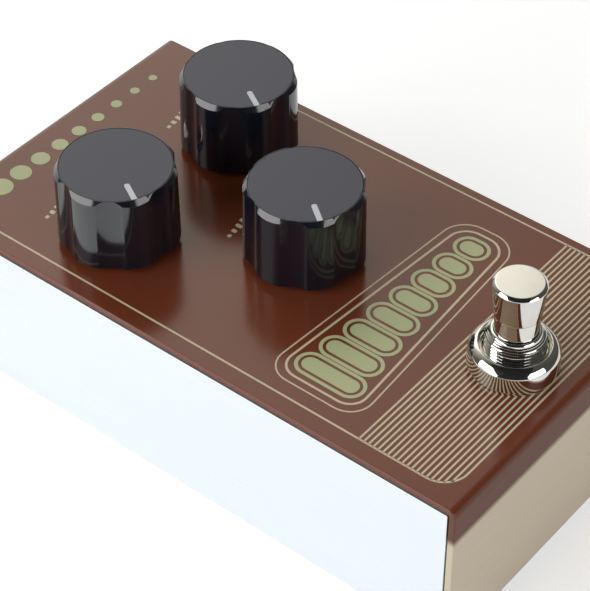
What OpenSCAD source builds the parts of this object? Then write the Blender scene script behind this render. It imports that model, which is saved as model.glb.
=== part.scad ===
// Floor pedal with three dials, a foot switch and two audio jacks.
// The origin lies on the floor, midway between the front wall and the ends of the jacks.
// +X is the player's right, +Y points to the jacks and +Z is up.

/* [Enclosure] */
// Width across the side walls
body_w = 74; // [70:1:90]
// Length from the front wall to the rear wall
body_l = 132; // [128:1:150]
// Height from the underside of the tray to the deck
body_h = 38; // [36:1:48]
// Thickness of the folded sheet
sheet_t = 1.5; // [1:0.1:2]
// Outer radius of the folds
bend_r = 2.4; // [2.2:0.1:4]
// Open seam between the cover and the tray
seam = 0.25; // [0.1:0.05:0.5]
// Depth of the lips folded inwards at the foot of the end walls
lip_d = 9; // [8:0.5:12]

/* [Feet and base screws] */
// Height of a rubber foot
foot_h = 2; // [1:0.5:5]
// Radius of a rubber foot
foot_r = 6; // [4:0.5:8]
// Distance of a foot's centre from the side wall
foot_inset_x = 9.5; // [9:0.5:16]
// Distance of a foot's centre from the end wall
foot_inset_y = 20; // [18:1:30]
// Radius of a base screw
screw_r = 1.5; // [1.2:0.1:1.8]
// Length of a base screw
screw_l = 6; // [5:0.5:10]
// Distance of a base screw from the side wall
screw_inset_x = 11; // [8:0.5:16]

/* [Dials] */
// Distance of the two rear dials from the side walls
dial_side = 18.35; // [15:0.05:21]
// Distance of the rear dials from the rear wall
dial_inset = 36.1; // [34:0.1:40]
// Distance of the front dial from the line of the rear dials
dial_pitch = 32.35; // [28:0.05:34]
// Radius of a knob under its chamfer
knob_r = 12.2; // [11:0.05:13.5]
// Growth of a knob's radius towards its foot
knob_draft = 0.2; // [0:0.05:0.6]
// Height of a knob's top over the deck
knob_top = 18.3; // [16:0.1:24]
// Gap between a knob and the deck
knob_gap = 1.5; // [0.5:0.1:2.5]
// Width of the chamfer round a knob's top
knob_chamfer_w = 0.7; // [0.5:0.05:1]
// Height of the chamfer round a knob's top
knob_chamfer_h = 1.1; // [0.6:0.1:3]
// Number of flutes round a knob
flute_count = 7; // [5:1:9]
// Width of a flute
flute_w = 5.4; // [3:0.1:6.3]
// Depth of a flute
flute_d = 0.65; // [0.5:0.05:1]
// Width of the rim round a knob's cap
knob_rim = 0.2; // [0.15:0.05:2]
// Thickness of a knob's cap
cap_t = 1; // [0.8:0.1:2]
// Width of a pointer
pointer_w = 1.2; // [0.6:0.1:2]
// Length of a pointer
pointer_l = 5; // [3:0.1:8]
// Thickness of a pointer
pointer_t = 0.5; // [0.3:0.05:0.7]
// Angle of the left pointer at rest, counter-clockwise from +X
rest_left = 240.7; // [0:0.1:360]
// Angle of the right pointer at rest, counter-clockwise from +X
rest_right = 239.1; // [0:0.1:360]
// Angle of the front pointer at rest, counter-clockwise from +X
rest_front = 233; // [0:0.1:360]

/* [Potentiometers] */
// Radius of a potentiometer's shaft
shaft_r = 3; // [2.5:0.1:3.1]
// Radius of a potentiometer's threaded bush
pot_bush_r = 3.5; // [3.4:0.1:4]
// Height of a potentiometer's bush over the deck
pot_bush_rise = 4.5; // [4:0.1:5.5]
// Width of a potentiometer
pot_w = 9.8; // [9.6:0.1:14]
// Length of a potentiometer
pot_l = 11.4; // [9.6:0.1:16]
// Height of a potentiometer's moulded base
pot_base_h = 5.9; // [5:0.1:8]
// Thickness of a potentiometer's face plate
pot_plate_t = 1.2; // [0.8:0.1:2]
// Radius of the rotor inside a potentiometer
rotor_r = 4; // [3.4:0.1:4.2]
// Thickness of a potentiometer's nut
pot_nut_t = 2; // [1.5:0.1:2.5]
// Width of a potentiometer's nut across its flats
pot_nut_w = 10; // [9:0.5:11]
// Thickness of a potentiometer's washer
pot_washer_t = 0.5; // [0.3:0.1:1]

/* [Foot switch] */
// Distance of the foot switch from the front wall
switch_inset = 13.5; // [12:0.5:20]
// Height of the plunger's top over the deck
plunger_top = 21.5; // [19:0.5:26]
// Radius of the plunger's head at its top
head_r = 5.2; // [4.9:0.05:5.4]
// Radius of the plunger's head at its foot
head_foot_r = 4.6; // [4.4:0.05:4.8]
// Radius of the plunger's neck, which slides in the bush's well
neck_r = 4.3; // [4:0.05:4.35]
// Depth of the neck's foot in the bush's well
neck_sink = 0.4; // [0.2:0.1:1]
// Chamfer round the plunger's top
head_chamfer = 0.5; // [0.2:0.05:1]
// Radius of the plunger's stem
stem_r = 3.4; // [2.6:0.1:3.7]
// Travel of the plunger
plunger_travel = 3.5; // [2:0.1:4.5]
// Outer radius of the threaded bush
bush_r = 6; // [5.8:0.1:6.4]
// Height of the bush over the deck
bush_rise = 9.9; // [8:0.1:12]
// Pitch of the bush's thread
thread_pitch = 1; // [0.5:0.05:1.25]
// Depth of the bush's thread
thread_d = 0.3; // [0.15:0.05:0.45]
// Radius of the dress nut's rim
dress_r = 8.9; // [8.5:0.1:11]
// Width of the flat rim round the dress nut's mouth
dress_land = 0.2; // [0.1:0.05:0.4]
// Height of the dress nut
dress_h = 5.3; // [4:0.1:6]
// Height of the upright rim of the dress nut
dress_rim_h = 3; // [2:0.1:3.2]
// Bevel under the rim of the dress nut
dress_bevel = 0.3; // [0.2:0.05:0.4]
// Chamfer round the bore of the dress nut's top
dress_mouth = 0.9; // [0.2:0.05:1]
// Radius of the washer under the dress nut
switch_washer_r = 8.3; // [7.5:0.1:10]
// Thickness of the washer under the dress nut
switch_washer_t = 1; // [0.5:0.1:1.2]
// Thickness of the nut under the deck
inner_nut_t = 2.2; // [1.5:0.1:4]
// Width of the nut under the deck across its flats
inner_nut_w = 14; // [14:0.5:16]
// Width of the switch case and its frame
case_w = 17; // [16:0.5:20]
// Thickness of the switch frame
frame_t = 1.2; // [0.8:0.1:1.6]
// Width of the switch frame
frame_l = 14; // [13.5:0.5:16]
// Length of the switch frame's legs
frame_leg = 8; // [5:0.5:11]
// Length of the return spring at rest
spring_l = 8; // [7.5:0.1:10]
// Radius of the return spring to the middle of its wire
spring_r = 3.7; // [3.2:0.1:4.5]
// Radius of the return spring's wire
spring_wire_r = 0.35; // [0.25:0.05:0.45]
// Turns of the return spring
spring_turns = 6; // [4:1:7]
// Thickness of the switch case's floor
case_floor = 2; // [1.5:0.1:4]
// Length of a solder lug under the switch case
lug_l = 5; // [3:0.5:7]
// Distance between neighbouring solder lugs
lug_pitch = 5; // [4:0.1:5.5]

/* [Jacks and power inlet] */
// Distance of a jack from the side wall
jack_side = 17.5; // [14:0.5:20]
// Radius of a jack's bore
jack_bore_r = 3.2; // [3.2:0.05:3.4]
// Outer radius of a jack's threaded bush
jack_bush_r = 4.5; // [4.3:0.1:5]
// Reach of a jack's bush past the rear wall
jack_reach = 5; // [4:0.5:8]
// Width of a jack's housing
jack_w = 16; // [15:0.5:18]
// Height of a jack's housing
jack_h = 13.5; // [12.5:0.5:16]
// Depth of a jack's housing
jack_d = 27; // [24:0.5:29]
// Length of a jack's bush held in its housing
jack_seat = 4; // [3:0.5:6]
// Width of a jack's nut across its flats
jack_nut_w = 11; // [10.5:0.5:13]
// Thickness of a jack's nut
jack_nut_t = 2; // [1.5:0.1:3]
// Radius of a jack's washer
jack_washer_r = 6.6; // [6:0.1:7.5]
// Thickness of a jack's washer
jack_washer_t = 0.5; // [0.3:0.1:1]
// Radius of the power inlet's centre pin
dc_pin_r = 1.05; // [0.8:0.05:1.3]
// Length of the power inlet's centre pin
dc_pin_l = 9; // [7:0.5:10]
// Radius of the power inlet's socket
dc_socket_r = 3; // [2.9:0.1:3.4]
// Radius of the power inlet's nose in the rear wall
dc_nose_r = 4.8; // [4.4:0.1:5]
// Width of the power inlet's body
dc_w = 10.4; // [10:0.1:12]
// Depth of the power inlet's body
dc_d = 13; // [12:0.5:16]

/* [Indicator] */
// Distance of the indicator lamp from the rear wall
lamp_inset = 26; // [22:0.5:29]
// Radius of the indicator lamp
lamp_r = 2.5; // [1.5:0.1:3]
// Radius of the bezel's flange
bezel_r = 4.2; // [4:0.1:5]
// Height of the bezel's flange over the deck
bezel_h = 1.2; // [0.6:0.1:2]
// Wall of the bezel's sleeve
bezel_wall = 0.8; // [0.5:0.1:1]
// Length of the bezel's sleeve under the deck
bezel_tail = 1.5; // [0.5:0.1:3]

/* [Boards] */
// Thickness of the boards
board_t = 1.6; // [1:0.1:2]
// Gap between the main board and the side walls
board_gap = 3; // [1:0.5:4]
// Gap between the main board and the rear wall
board_gap_rear = 5; // [3:0.5:8]
// Length of the main board in front of the front dial
board_nose = 12; // [10:0.5:14]
// Radius of a pin or lead
lead_r = 0.35; // [0.25:0.05:0.45]
// Length of the pins that pass through the main board and stand out under it
pin_tail = 1; // [0.5:0.1:2]
// Width of the ribbon cable
ribbon_w = 10; // [6:1:16]
// Thickness of the ribbon cable
ribbon_t = 0.9; // [0.6:0.1:1.2]
// Inner radius of the ribbon cable's bends
ribbon_bend = 1.5; // [1:0.1:2]
// Height of a ribbon header
header_h = 3; // [2:0.5:4]
// Depth of a ribbon header
header_d = 3.5; // [3:0.5:4.5]
// Length of the switch board behind the switch case
switch_board_tail = 7; // [6:0.5:12]

/* [Board parts] */
// Distance of the parts at the ends of each row from the side walls
row_side = 17; // [15:0.5:19]
// Number of delay chips in the row
chip_count = 3; // [2:1:3]
// Width of a chip
chip_w = 6.4; // [5:0.1:7.5]
// Length of a chip
chip_l = 9.8; // [8:0.1:11]
// Height of a chip
chip_h = 3.2; // [2:0.1:4]
// Stand-off of a chip from the board
chip_gap = 0.4; // [0.3:0.05:1]
// Radius of an electrolytic capacitor
can_r = 2.5; // [2:0.1:3]
// Height of an electrolytic capacitor
can_h = 7; // [5:0.5:11]
// Number of electrolytic capacitors in the row
can_count = 6; // [3:1:6]
// Width of a film capacitor
film_w = 7.2; // [6:0.1:8]
// Thickness of a film capacitor
film_t = 2.6; // [2:0.1:3]
// Height of a film capacitor
film_h = 6.5; // [4:0.5:9]
// Number of film capacitors in the row
film_count = 5; // [3:1:5]
// Radius of a resistor
resistor_r = 1.1; // [0.8:0.1:1.4]
// Length of a resistor
resistor_l = 6; // [4:0.5:7]
// Number of resistors in the row
resistor_count = 10; // [4:1:11]

/* [Hidden] */
$fn = 96;

// Clearances
loose = 0.3;
running = 0.05;
snug = 0.02;
overcut = 1;

// Heights
floor_top = foot_h + sheet_t;
deck = foot_h + body_h;
deck_under = deck - sheet_t;
board_top = deck_under - pot_plate_t - pot_base_h;
board_under = board_top - board_t;

// The body is set forwards by half the reach of the jacks, which centres the whole
mid_y = -jack_reach / 2;
front_y = mid_y - body_l / 2;
rear_y = mid_y + body_l / 2;
rear_in = rear_y - sheet_t;
inner_w = body_w - 2 * sheet_t;
fold_in_r = bend_r - sheet_t;

// Dials: place and pointer angle of each
dial_x = body_w / 2 - dial_side;
dial_rear_y = rear_y - dial_inset;
dial_front_y = dial_rear_y - dial_pitch;
LEFT = [-dial_x, dial_rear_y, rest_left];
RIGHT = [dial_x, dial_rear_y, rest_right];
FRONT = [0, dial_front_y, rest_front];
DIALS = [LEFT, RIGHT, FRONT];

knob_foot = deck + knob_gap;
knob_face = deck + knob_top;
cap_seat = knob_face - cap_t;
cap_r = knob_r - max(knob_chamfer_w, flute_d) - knob_rim;
knob_web = 2;
shaft_end = cap_seat - knob_web;
pot_nut_corner = pot_nut_w / 2 / cos(30);
pot_washer_edge = 0.5;
pot_washer_r = pot_nut_corner + pot_washer_edge;
knob_recess_gap = 1;
knob_recess_r = pot_washer_r + knob_recess_gap;
knob_recess_over = 0.5;
knob_recess_top = deck + pot_bush_rise + knob_recess_over;
knob_side_top = knob_face - knob_chamfer_h;
knob_side_h = knob_side_top - knob_foot;
flute_floor = knob_r - flute_d;
// The scallop that cuts flute_w wide and flute_d deep into the knob's round side
flute_chord = sqrt(knob_r * knob_r - flute_w * flute_w / 4);
flute_sag = flute_chord - flute_floor;
flute_r = (flute_w * flute_w / 4 + flute_sag * flute_sag) / (2 * flute_sag);
// The flutes lean outwards with the draft, so they keep their width
flute_lean = atan(knob_draft / knob_side_h);

hole_gap = 0.1;
pot_hole_r = pot_bush_r + hole_gap;
pot_rotor_t = 1.2;
pot_rotor_gap = 0.4;

// Foot switch
switch_y = front_y + switch_inset;
frame_top = deck_under - inner_nut_t;
frame_under = frame_top - frame_t;
spring_side_gap = 0.4;
stem_collar_r = spring_r + spring_wire_r + spring_side_gap;
stem_collar_t = 1.2;
stem_collar_top = frame_under - loose;
spring_top = stem_collar_top - stem_collar_t;
spring_foot = spring_top - spring_l;
stem_nose_r = spring_r - spring_wire_r - spring_side_gap;
stem_nose_l = 3;
case_foot = spring_foot - case_floor;
case_bore_r = stem_collar_r + loose;
lug_foot = case_foot - lug_l;
lug_w = 2;
lug_t = 0.8;
head_stop_gap = 0.4;
head_foot = deck + bush_rise + plunger_travel + head_stop_gap;
head_shoulder = 0.2;
neck_foot = deck + bush_rise - neck_sink;
// The well in the bush's top takes the neck when the plunger is pressed
bush_well_r = neck_r + running;
bush_well_foot = neck_foot - plunger_travel - head_stop_gap;
dress_foot = deck + switch_washer_t;
bush_collar_h = 0.9;
bush_hole_r = bush_r + hole_gap;
dress_bore_r = bush_r + running;
dress_top_r = dress_bore_r + dress_mouth + dress_land;

// Jacks and power inlet
jack_x = body_w / 2 - jack_side;
jack_z = board_under - jack_h / 2;
jack_hole_r = jack_bush_r + hole_gap;
jack_cavity_gap = 0.4;
jack_cavity_r = jack_bore_r + jack_cavity_gap;
jack_back = 2;
jack_cavity_end = rear_in - jack_d + jack_back;
jack_slot_w = 4;
jack_slot_gap = 2;
jack_slot_end = rear_in - jack_seat - jack_slot_gap;
jack_skin = 1;
jack_slot_h = jack_h / 2 - jack_skin;
contact_w = 3;
contact_t = 0.4;
contact_gap = 0.5;
dc_skirt = 0.6;
dc_body_h = jack_h / 2 + dc_nose_r + dc_skirt;
dc_back = 2;
dc_socket_end = rear_in - dc_d + dc_back;
dc_root_step = 0.4;
dc_root_r = dc_pin_r + dc_root_step;
dc_contact_gap = 0.2;

// Indicator
lamp_y = rear_y - lamp_inset;
bezel_sleeve_r = lamp_r + running + bezel_wall;
bezel_foot = deck_under - bezel_tail;
lamp_flange_r = bezel_sleeve_r - hole_gap;
lamp_flange_t = 1;
lamp_foot = bezel_foot - lamp_flange_t;
lamp_top = deck + bezel_h;
lamp_lead_x = 1.27;

// Boards
board_w = inner_w - 2 * board_gap;
board_rear = rear_in - board_gap_rear;
board_front = dial_front_y - board_nose;
switch_board_top = lug_foot;
switch_board_w = case_w;
switch_board_front = switch_y - case_w / 2;
switch_board_rear = switch_y + case_w / 2 + switch_board_tail;
header_cheek = 1;
header_w = ribbon_w + 2 * header_cheek;
header_edge = 0.75;
header_main_y = board_front + header_d / 2 + header_edge;
header_switch_y = switch_board_rear - header_d / 2 - header_edge;
ribbon_from = board_under - header_h;
ribbon_to = switch_board_top + header_h;
ribbon_mid = (ribbon_from + ribbon_to) / 2;

// Pins of the potentiometers, in a row along the front of each base
pot_pin_pitch = 2.5;
pot_pin_inset = 1.5;
pot_pin_y = pot_l / 2 - pot_pin_inset;

// Rows of parts under the main board: three behind the front dial's pins, one behind the rear dials' pins
row_gap = 1;
row_w = body_w - 2 * row_side;
row_resistor_y = dial_front_y - pot_pin_y + lead_r + row_gap + resistor_l / 2;
row_film_y = row_resistor_y + resistor_l / 2 + row_gap + film_w / 2;
row_can_y = row_film_y + film_w / 2 + row_gap + can_r;
row_chip_y = dial_rear_y - pot_pin_y + lead_r + row_gap + chip_w / 2 + 2 * lead_r;

// Moulded and turned shapes shared by several pieces

module at(x, y, z) {
    translate([x, y, z]) children();
}

module tube(r_out, r_in, h) {
    difference() {
        cylinder(r = r_out, h = h);
        translate([0, 0, -overcut]) cylinder(r = r_in, h = h + 2 * overcut);
    }
}

module hex_nut(width, bore_r, h) {
    difference() {
        cylinder(r = width / 2 / cos(30), h = h, $fn = 6);
        translate([0, 0, -overcut]) cylinder(r = bore_r, h = h + 2 * overcut);
    }
}

// Drills towards -Y from a place on the rear wall
module rear_drill(x, z, y, r, depth) {
    translate([x, y, z]) rotate([90, 0, 0]) cylinder(r = r, h = depth);
}

module block(x0, x1, y0, y1, z0, z1) {
    translate([x0, y0, z0]) cube([x1 - x0, y1 - y0, z1 - z0]);
}

// A flat strip that turns by a quarter circle, from the x axis to the y axis
module quarter_ring(r_in, r_out) {
    intersection() {
        difference() {
            circle(r = r_out);
            circle(r = r_in);
        }
        square([r_out, r_out]);
    }
}

// A rectangle that stands on the x axis, with its two lower corners rounded
module rounded_foot(width, height, r) {
    translate([-width / 2, r]) square([width, height - r]);
    translate([r - width / 2, 0]) square([width - 2 * r, height]);
    for (side = [-1, 1]) translate([side * (width / 2 - r), r]) circle(r = r);
}

// Outline of a folded sheet: a floor with an upright at each end, seen along the fold
module channel_outline(width, height) {
    difference() {
        rounded_foot(width, height, bend_r);
        translate([0, sheet_t]) rounded_foot(width - 2 * sheet_t, height, fold_in_r);
    }
}

// Enclosure

lip_end = body_l / 2 - sheet_t - lip_d;
screw_y = lip_end + lip_d / 2;
screw_x = body_w / 2 - screw_inset_x;
lip_w = inner_w - 2 * bend_r;
drill_l = sheet_t + 2 * overcut;

module four_corners(x, y) {
    for (sx = [-1, 1], sy = [-1, 1]) translate([sx * x, mid_y + sy * y, 0]) children();
}

module cover() {
    color("saddlebrown") difference() {
        union() {
            translate([-body_w / 2, mid_y, deck])
                rotate([90, 0, 90]) mirror([0, 1]) linear_extrude(body_w)
                    channel_outline(body_l, body_h);
            // The lips start within the end walls that they are folded from
            for (side = [0, 1]) at(0, mid_y, floor_top) mirror([0, side, 0])
                block(-lip_w / 2, lip_w / 2, lip_end, body_l / 2 - sheet_t / 2, 0, sheet_t);
        }
        for (d = DIALS) at(d[0], d[1], deck_under - overcut) cylinder(r = pot_hole_r, h = drill_l);
        at(0, switch_y, deck_under - overcut) cylinder(r = bush_hole_r, h = drill_l);
        at(0, lamp_y, deck_under - overcut) cylinder(r = bezel_sleeve_r + running, h = drill_l);
        for (sx = [-1, 1]) rear_drill(sx * jack_x, jack_z, rear_y + overcut, jack_hole_r, drill_l);
        rear_drill(0, jack_z, rear_y + overcut, dc_nose_r + running, drill_l);
        four_corners(screw_x, screw_y) at(0, 0, floor_top - overcut)
            cylinder(r = screw_r + running, h = drill_l);
    }
}

tray_l = body_l - 2 * sheet_t - 2 * seam;
screw_head_r = screw_r + sheet_t;

tray_h = body_h - sheet_t - seam;

module tray() {
    color("gainsboro") difference() {
        intersection() {
            translate([0, mid_y + tray_l / 2 + overcut, foot_h]) rotate([90, 0, 0])
                linear_extrude(tray_l + 2 * overcut) channel_outline(body_w, body_h);
            // The side walls' upper corners follow the folds of the cover
            translate([-body_w / 2 - overcut, mid_y, foot_h + tray_h]) rotate([90, 0, 90]) mirror([0, 1])
                linear_extrude(body_w + 2 * overcut) rounded_foot(tray_l, body_h, fold_in_r);
        }
        four_corners(screw_x, screw_y) at(0, 0, foot_h - overcut) {
            cylinder(r1 = screw_head_r + running + overcut, r2 = screw_r + running, h = sheet_t + overcut);
            cylinder(r = screw_r + running, h = drill_l);
        }
    }
}

module rubber_feet() {
    foot_taper = min(0.6, foot_h / 2);
    color("dimgray") four_corners(body_w / 2 - foot_inset_x, body_l / 2 - foot_inset_y) {
        rotate_extrude() polygon([
            [0, 0],
            [foot_r - foot_taper, 0],
            [foot_r, foot_taper],
            [foot_r, foot_h],
            [0, foot_h]
        ]);
    }
}

module base_screws() {
    drive_w = 0.7;
    drive_l = screw_head_r * 1.2;
    drive_d = sheet_t * 0.6;
    color("silver") four_corners(screw_x, screw_y) at(0, 0, foot_h) difference() {
        union() {
            cylinder(r1 = screw_head_r, r2 = screw_r, h = sheet_t);
            cylinder(r = screw_r, h = screw_l);
        }
        for (turn = [0, 90]) rotate([0, 0, turn])
            translate([-drive_l / 2, -drive_w / 2, -overcut]) cube([drive_l, drive_w, drive_d + overcut]);
    }
}

// Dials

module knob(d) {
    color([0.07, 0.06, 0.07]) at(d[0], d[1], 0) rotate([0, 0, d[2]]) difference() {
        rotate_extrude() polygon([
            [knob_recess_r, knob_foot],
            [knob_r + knob_draft, knob_foot],
            [knob_r, knob_side_top],
            [knob_r - knob_chamfer_w, knob_face],
            [cap_r + running, knob_face],
            [cap_r + running, cap_seat],
            [0, cap_seat],
            [0, shaft_end + loose],
            [shaft_r + snug, shaft_end + loose],
            [shaft_r + snug, knob_recess_top],
            [knob_recess_r, knob_recess_top]
        ]);
        // Land under the pointer, so the flutes start half a pitch beside it
        for (i = [0 : flute_count - 1]) rotate([0, 0, (i + 0.5) * 360 / flute_count])
            translate([flute_floor + flute_r, 0, knob_side_top]) rotate([0, -flute_lean, 0])
                translate([0, 0, -knob_side_h - overcut])
                    cylinder(r = flute_r, h = knob_side_h + knob_chamfer_h + 2 * overcut);
    }
}

// Plan of a pointer: a bar from the rim inwards with a round inner end
module pointer_plan(grow) {
    inner = cap_r - pointer_l + pointer_w / 2;
    translate([inner, 0]) circle(r = pointer_w / 2 + grow);
    translate([inner, -pointer_w / 2 - grow]) square([pointer_l, pointer_w + 2 * grow]);
}

module cap(d) {
    color([0.33, 0.33, 0.36]) at(d[0], d[1], 0) rotate([0, 0, d[2]]) difference() {
        at(0, 0, cap_seat) cylinder(r = cap_r, h = cap_t);
        at(0, 0, knob_face - pointer_t) linear_extrude(pointer_t + overcut) pointer_plan(running);
    }
}

module pointer(d) {
    color([0.82, 0.84, 0.88]) at(d[0], d[1], 0) rotate([0, 0, d[2]]) intersection() {
        at(0, 0, knob_face - pointer_t) linear_extrude(pointer_t) pointer_plan(0);
        cylinder(r = cap_r, h = knob_face + overcut);
    }
}

module pot_shaft(d) {
    rotor_top = deck_under - pot_plate_t - pot_rotor_gap;
    color("gainsboro") at(d[0], d[1], 0) {
        at(0, 0, rotor_top - pot_rotor_t) cylinder(r = rotor_r, h = pot_rotor_t);
        at(0, 0, rotor_top - pot_rotor_t) cylinder(r = shaft_r, h = shaft_end - rotor_top + pot_rotor_t);
    }
}

module pot_base(d) {
    pocket_foot = deck_under - pot_plate_t - pot_rotor_t - 2 * pot_rotor_gap;
    color("royalblue") difference() {
        block(d[0] - pot_w / 2, d[0] + pot_w / 2, d[1] - pot_l / 2, d[1] + pot_l / 2,
            board_top, board_top + pot_base_h);
        at(d[0], d[1], pocket_foot) cylinder(r = rotor_r + loose, h = pot_base_h);
    }
}

module pot_bush(d) {
    color("lightsteelblue") difference() {
        union() {
            block(d[0] - pot_w / 2, d[0] + pot_w / 2, d[1] - pot_l / 2, d[1] + pot_l / 2,
                deck_under - pot_plate_t, deck_under);
            at(d[0], d[1], deck_under - pot_plate_t)
                cylinder(r = pot_bush_r, h = pot_plate_t + sheet_t + pot_bush_rise);
        }
        at(d[0], d[1], deck_under - pot_plate_t - overcut)
            cylinder(r = shaft_r + running, h = pot_plate_t + sheet_t + pot_bush_rise + 2 * overcut);
    }
}

module pot_nuts() {
    color("silver") for (d = DIALS) at(d[0], d[1], deck + pot_washer_t)
        hex_nut(pot_nut_w, pot_bush_r + running, pot_nut_t);
}

module pot_washers() {
    color("silver") for (d = DIALS) at(d[0], d[1], deck)
        tube(pot_washer_r, pot_bush_r + running, pot_washer_t);
}

module pot_pins() {
    color("silver") for (d = DIALS, i = [-1 : 1])
        at(d[0] + i * pot_pin_pitch, d[1] - pot_pin_y, board_under - pin_tail)
            cylinder(r = lead_r, h = board_t + pin_tail, $fn = 24);
}

// Foot switch

module switch_plunger() {
    color("gainsboro") at(0, switch_y, 0) rotate_extrude() polygon([
        [0, spring_top - stem_nose_l],
        [stem_nose_r, spring_top - stem_nose_l],
        [stem_nose_r, spring_top],
        [stem_collar_r, spring_top],
        [stem_collar_r, stem_collar_top],
        [stem_r, stem_collar_top],
        [stem_r, neck_foot],
        [neck_r, neck_foot],
        [neck_r, head_foot],
        [head_foot_r, head_foot + head_shoulder],
        [head_r, deck + plunger_top - head_chamfer],
        [head_r - head_chamfer, deck + plunger_top],
        [0, deck + plunger_top]
    ]);
}

// Return spring: one unbroken wire, swept along its helix with rings of six points
spring_rings = 8;
spring_sides = 6;
spring_steps = spring_turns * spring_rings;
spring_end_gap = snug;
spring_rise = spring_l - 2 * spring_wire_r - 2 * spring_end_gap;
spring_pitch = spring_rise / spring_turns;
echo(spring_gap = spring_pitch - 2 * spring_wire_r);

function spring_ring(i) =
    let (turn = 360 * i / spring_rings,
        rise = spring_rise * i / spring_steps,
        lean = atan(spring_pitch / (2 * PI * spring_r)))
    [for (k = [0 : spring_sides - 1])
        let (a = 360 * k / spring_sides,
            out = spring_wire_r * cos(a),
            up = spring_wire_r * sin(a))
        [(spring_r + out) * cos(turn) + up * sin(lean) * sin(turn),
            (spring_r + out) * sin(turn) - up * sin(lean) * cos(turn),
            rise + up * cos(lean)]];

module switch_spring() {
    points = [for (i = [0 : spring_steps]) each spring_ring(i)];
    sides = [for (i = [0 : spring_steps - 1], k = [0 : spring_sides - 1])
        let (a = i * spring_sides + k,
            b = i * spring_sides + (k + 1) % spring_sides)
        each [[a, a + spring_sides, b], [b, a + spring_sides, b + spring_sides]]];
    first = [for (k = [1 : spring_sides - 2]) [0, k, k + 1]];
    last_ring = spring_steps * spring_sides;
    last = [for (k = [1 : spring_sides - 2]) [last_ring, last_ring + k + 1, last_ring + k]];
    color("silver") at(0, switch_y, spring_foot + spring_wire_r + spring_end_gap)
        polyhedron(points, concat(sides, first, last));
}

module switch_bush() {
    top = deck + bush_rise;
    thread_top = top - bush_collar_h;
    thread_foot = frame_top;
    turns = floor((thread_top - thread_foot) / thread_pitch);
    crests = [for (i = [0 : turns - 1]) each [
        [bush_r, thread_foot + (i + 0.25) * thread_pitch],
        [bush_r - thread_d, thread_foot + (i + 0.75) * thread_pitch]
    ]];
    color("gainsboro") at(0, switch_y, 0) rotate_extrude() polygon(concat(
        [[stem_r + running, frame_under], [bush_r, frame_under]],
        crests,
        [
            [bush_r - thread_d, thread_top],
            [bush_r - thread_d - bush_collar_h / 2, top],
            [bush_well_r, top],
            [bush_well_r, bush_well_foot],
            [stem_r + running, bush_well_foot]
        ]
    ));
}

module switch_frame() {
    color("lightsteelblue") difference() {
        union() {
            block(-case_w / 2, case_w / 2, switch_y - frame_l / 2, switch_y + frame_l / 2,
                frame_under, frame_top);
            for (sx = [-1, 1]) at(sx * (case_w - frame_t) / 2, switch_y, 0)
                block(-frame_t / 2, frame_t / 2, -frame_l / 2, frame_l / 2,
                    frame_under - frame_leg, frame_top);
        }
        at(0, switch_y, frame_under - overcut) cylinder(r = bush_r + running, h = frame_t + 2 * overcut);
    }
}

module switch_case() {
    half_w = case_w / 2 - frame_t - running;
    color("steelblue") difference() {
        block(-half_w, half_w, switch_y - case_w / 2, switch_y + case_w / 2, case_foot, frame_under);
        at(0, switch_y, spring_foot) cylinder(r = case_bore_r, h = frame_under - spring_foot + overcut);
    }
}

module switch_lugs() {
    color("silver") for (i = [-1 : 1], j = [-1 : 1])
        at(i * lug_pitch, switch_y + j * lug_pitch, 0)
            block(-lug_w / 2, lug_w / 2, -lug_t / 2, lug_t / 2, lug_foot, case_foot);
}

module switch_inner_nut() {
    color("silver") at(0, switch_y, frame_top) hex_nut(inner_nut_w, bush_r + running, inner_nut_t);
}

module switch_washer() {
    color("gainsboro") at(0, switch_y, deck) tube(switch_washer_r, bush_r + running, switch_washer_t);
}

// Dress nut: a bevel, an upright rim, a domed shoulder, a narrow flat rim and a wide mouth
module switch_dress_nut() {
    dome_foot = dress_bevel + dress_rim_h;
    dome_w = dress_r - dress_top_r;
    dome_h = dress_h - dome_foot;
    dome_steps = 8;
    lean_low = 22;
    lean_high = 66;
    dome = [for (i = [0 : dome_steps])
        let (a = lean_low + (lean_high - lean_low) * i / dome_steps)
        [dress_top_r + dome_w * (cos(a) - cos(lean_high)) / (cos(lean_low) - cos(lean_high)),
            dome_foot + dome_h * (sin(a) - sin(lean_low)) / (sin(lean_high) - sin(lean_low))]];
    color("gainsboro") at(0, switch_y, dress_foot) rotate_extrude() polygon(concat(
        [[dress_bore_r, 0], [dress_r - dress_bevel, 0], [dress_r, dress_bevel]],
        dome,
        [[dress_bore_r + dress_mouth, dress_h], [dress_bore_r, dress_h - dress_mouth]]
    ));
}

// Jacks

module jack_housing(x) {
    color([0.1, 0.1, 0.11]) difference() {
        block(x - jack_w / 2, x + jack_w / 2, rear_in - jack_d, rear_in, board_under - jack_h, board_under);
        rear_drill(x, jack_z, rear_in + overcut, jack_bush_r + running, jack_seat + overcut);
        rear_drill(x, jack_z, rear_in, jack_cavity_r, rear_in - jack_cavity_end);
        // Slots over and under the cavity for the two contacts
        for (up = [0, 1]) translate([x, 0, jack_z]) mirror([0, 0, up])
            block(-jack_slot_w / 2, jack_slot_w / 2, jack_cavity_end, jack_slot_end, 0, jack_slot_h);
        block(x - jack_slot_w / 2, x + jack_slot_w / 2, jack_cavity_end, jack_cavity_end + jack_slot_w,
            jack_z, board_under + overcut);
    }
}

module jack_bush(x) {
    reach = jack_reach + sheet_t + jack_seat;
    chamfer = 0.5;
    color("gainsboro") translate([x, rear_y + jack_reach, jack_z]) rotate([90, 0, 0])
        rotate_extrude() polygon([
            [jack_bore_r, 0],
            [jack_bush_r - chamfer, 0],
            [jack_bush_r, chamfer],
            [jack_bush_r, reach],
            [jack_bore_r, reach]
        ]);
}

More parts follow.
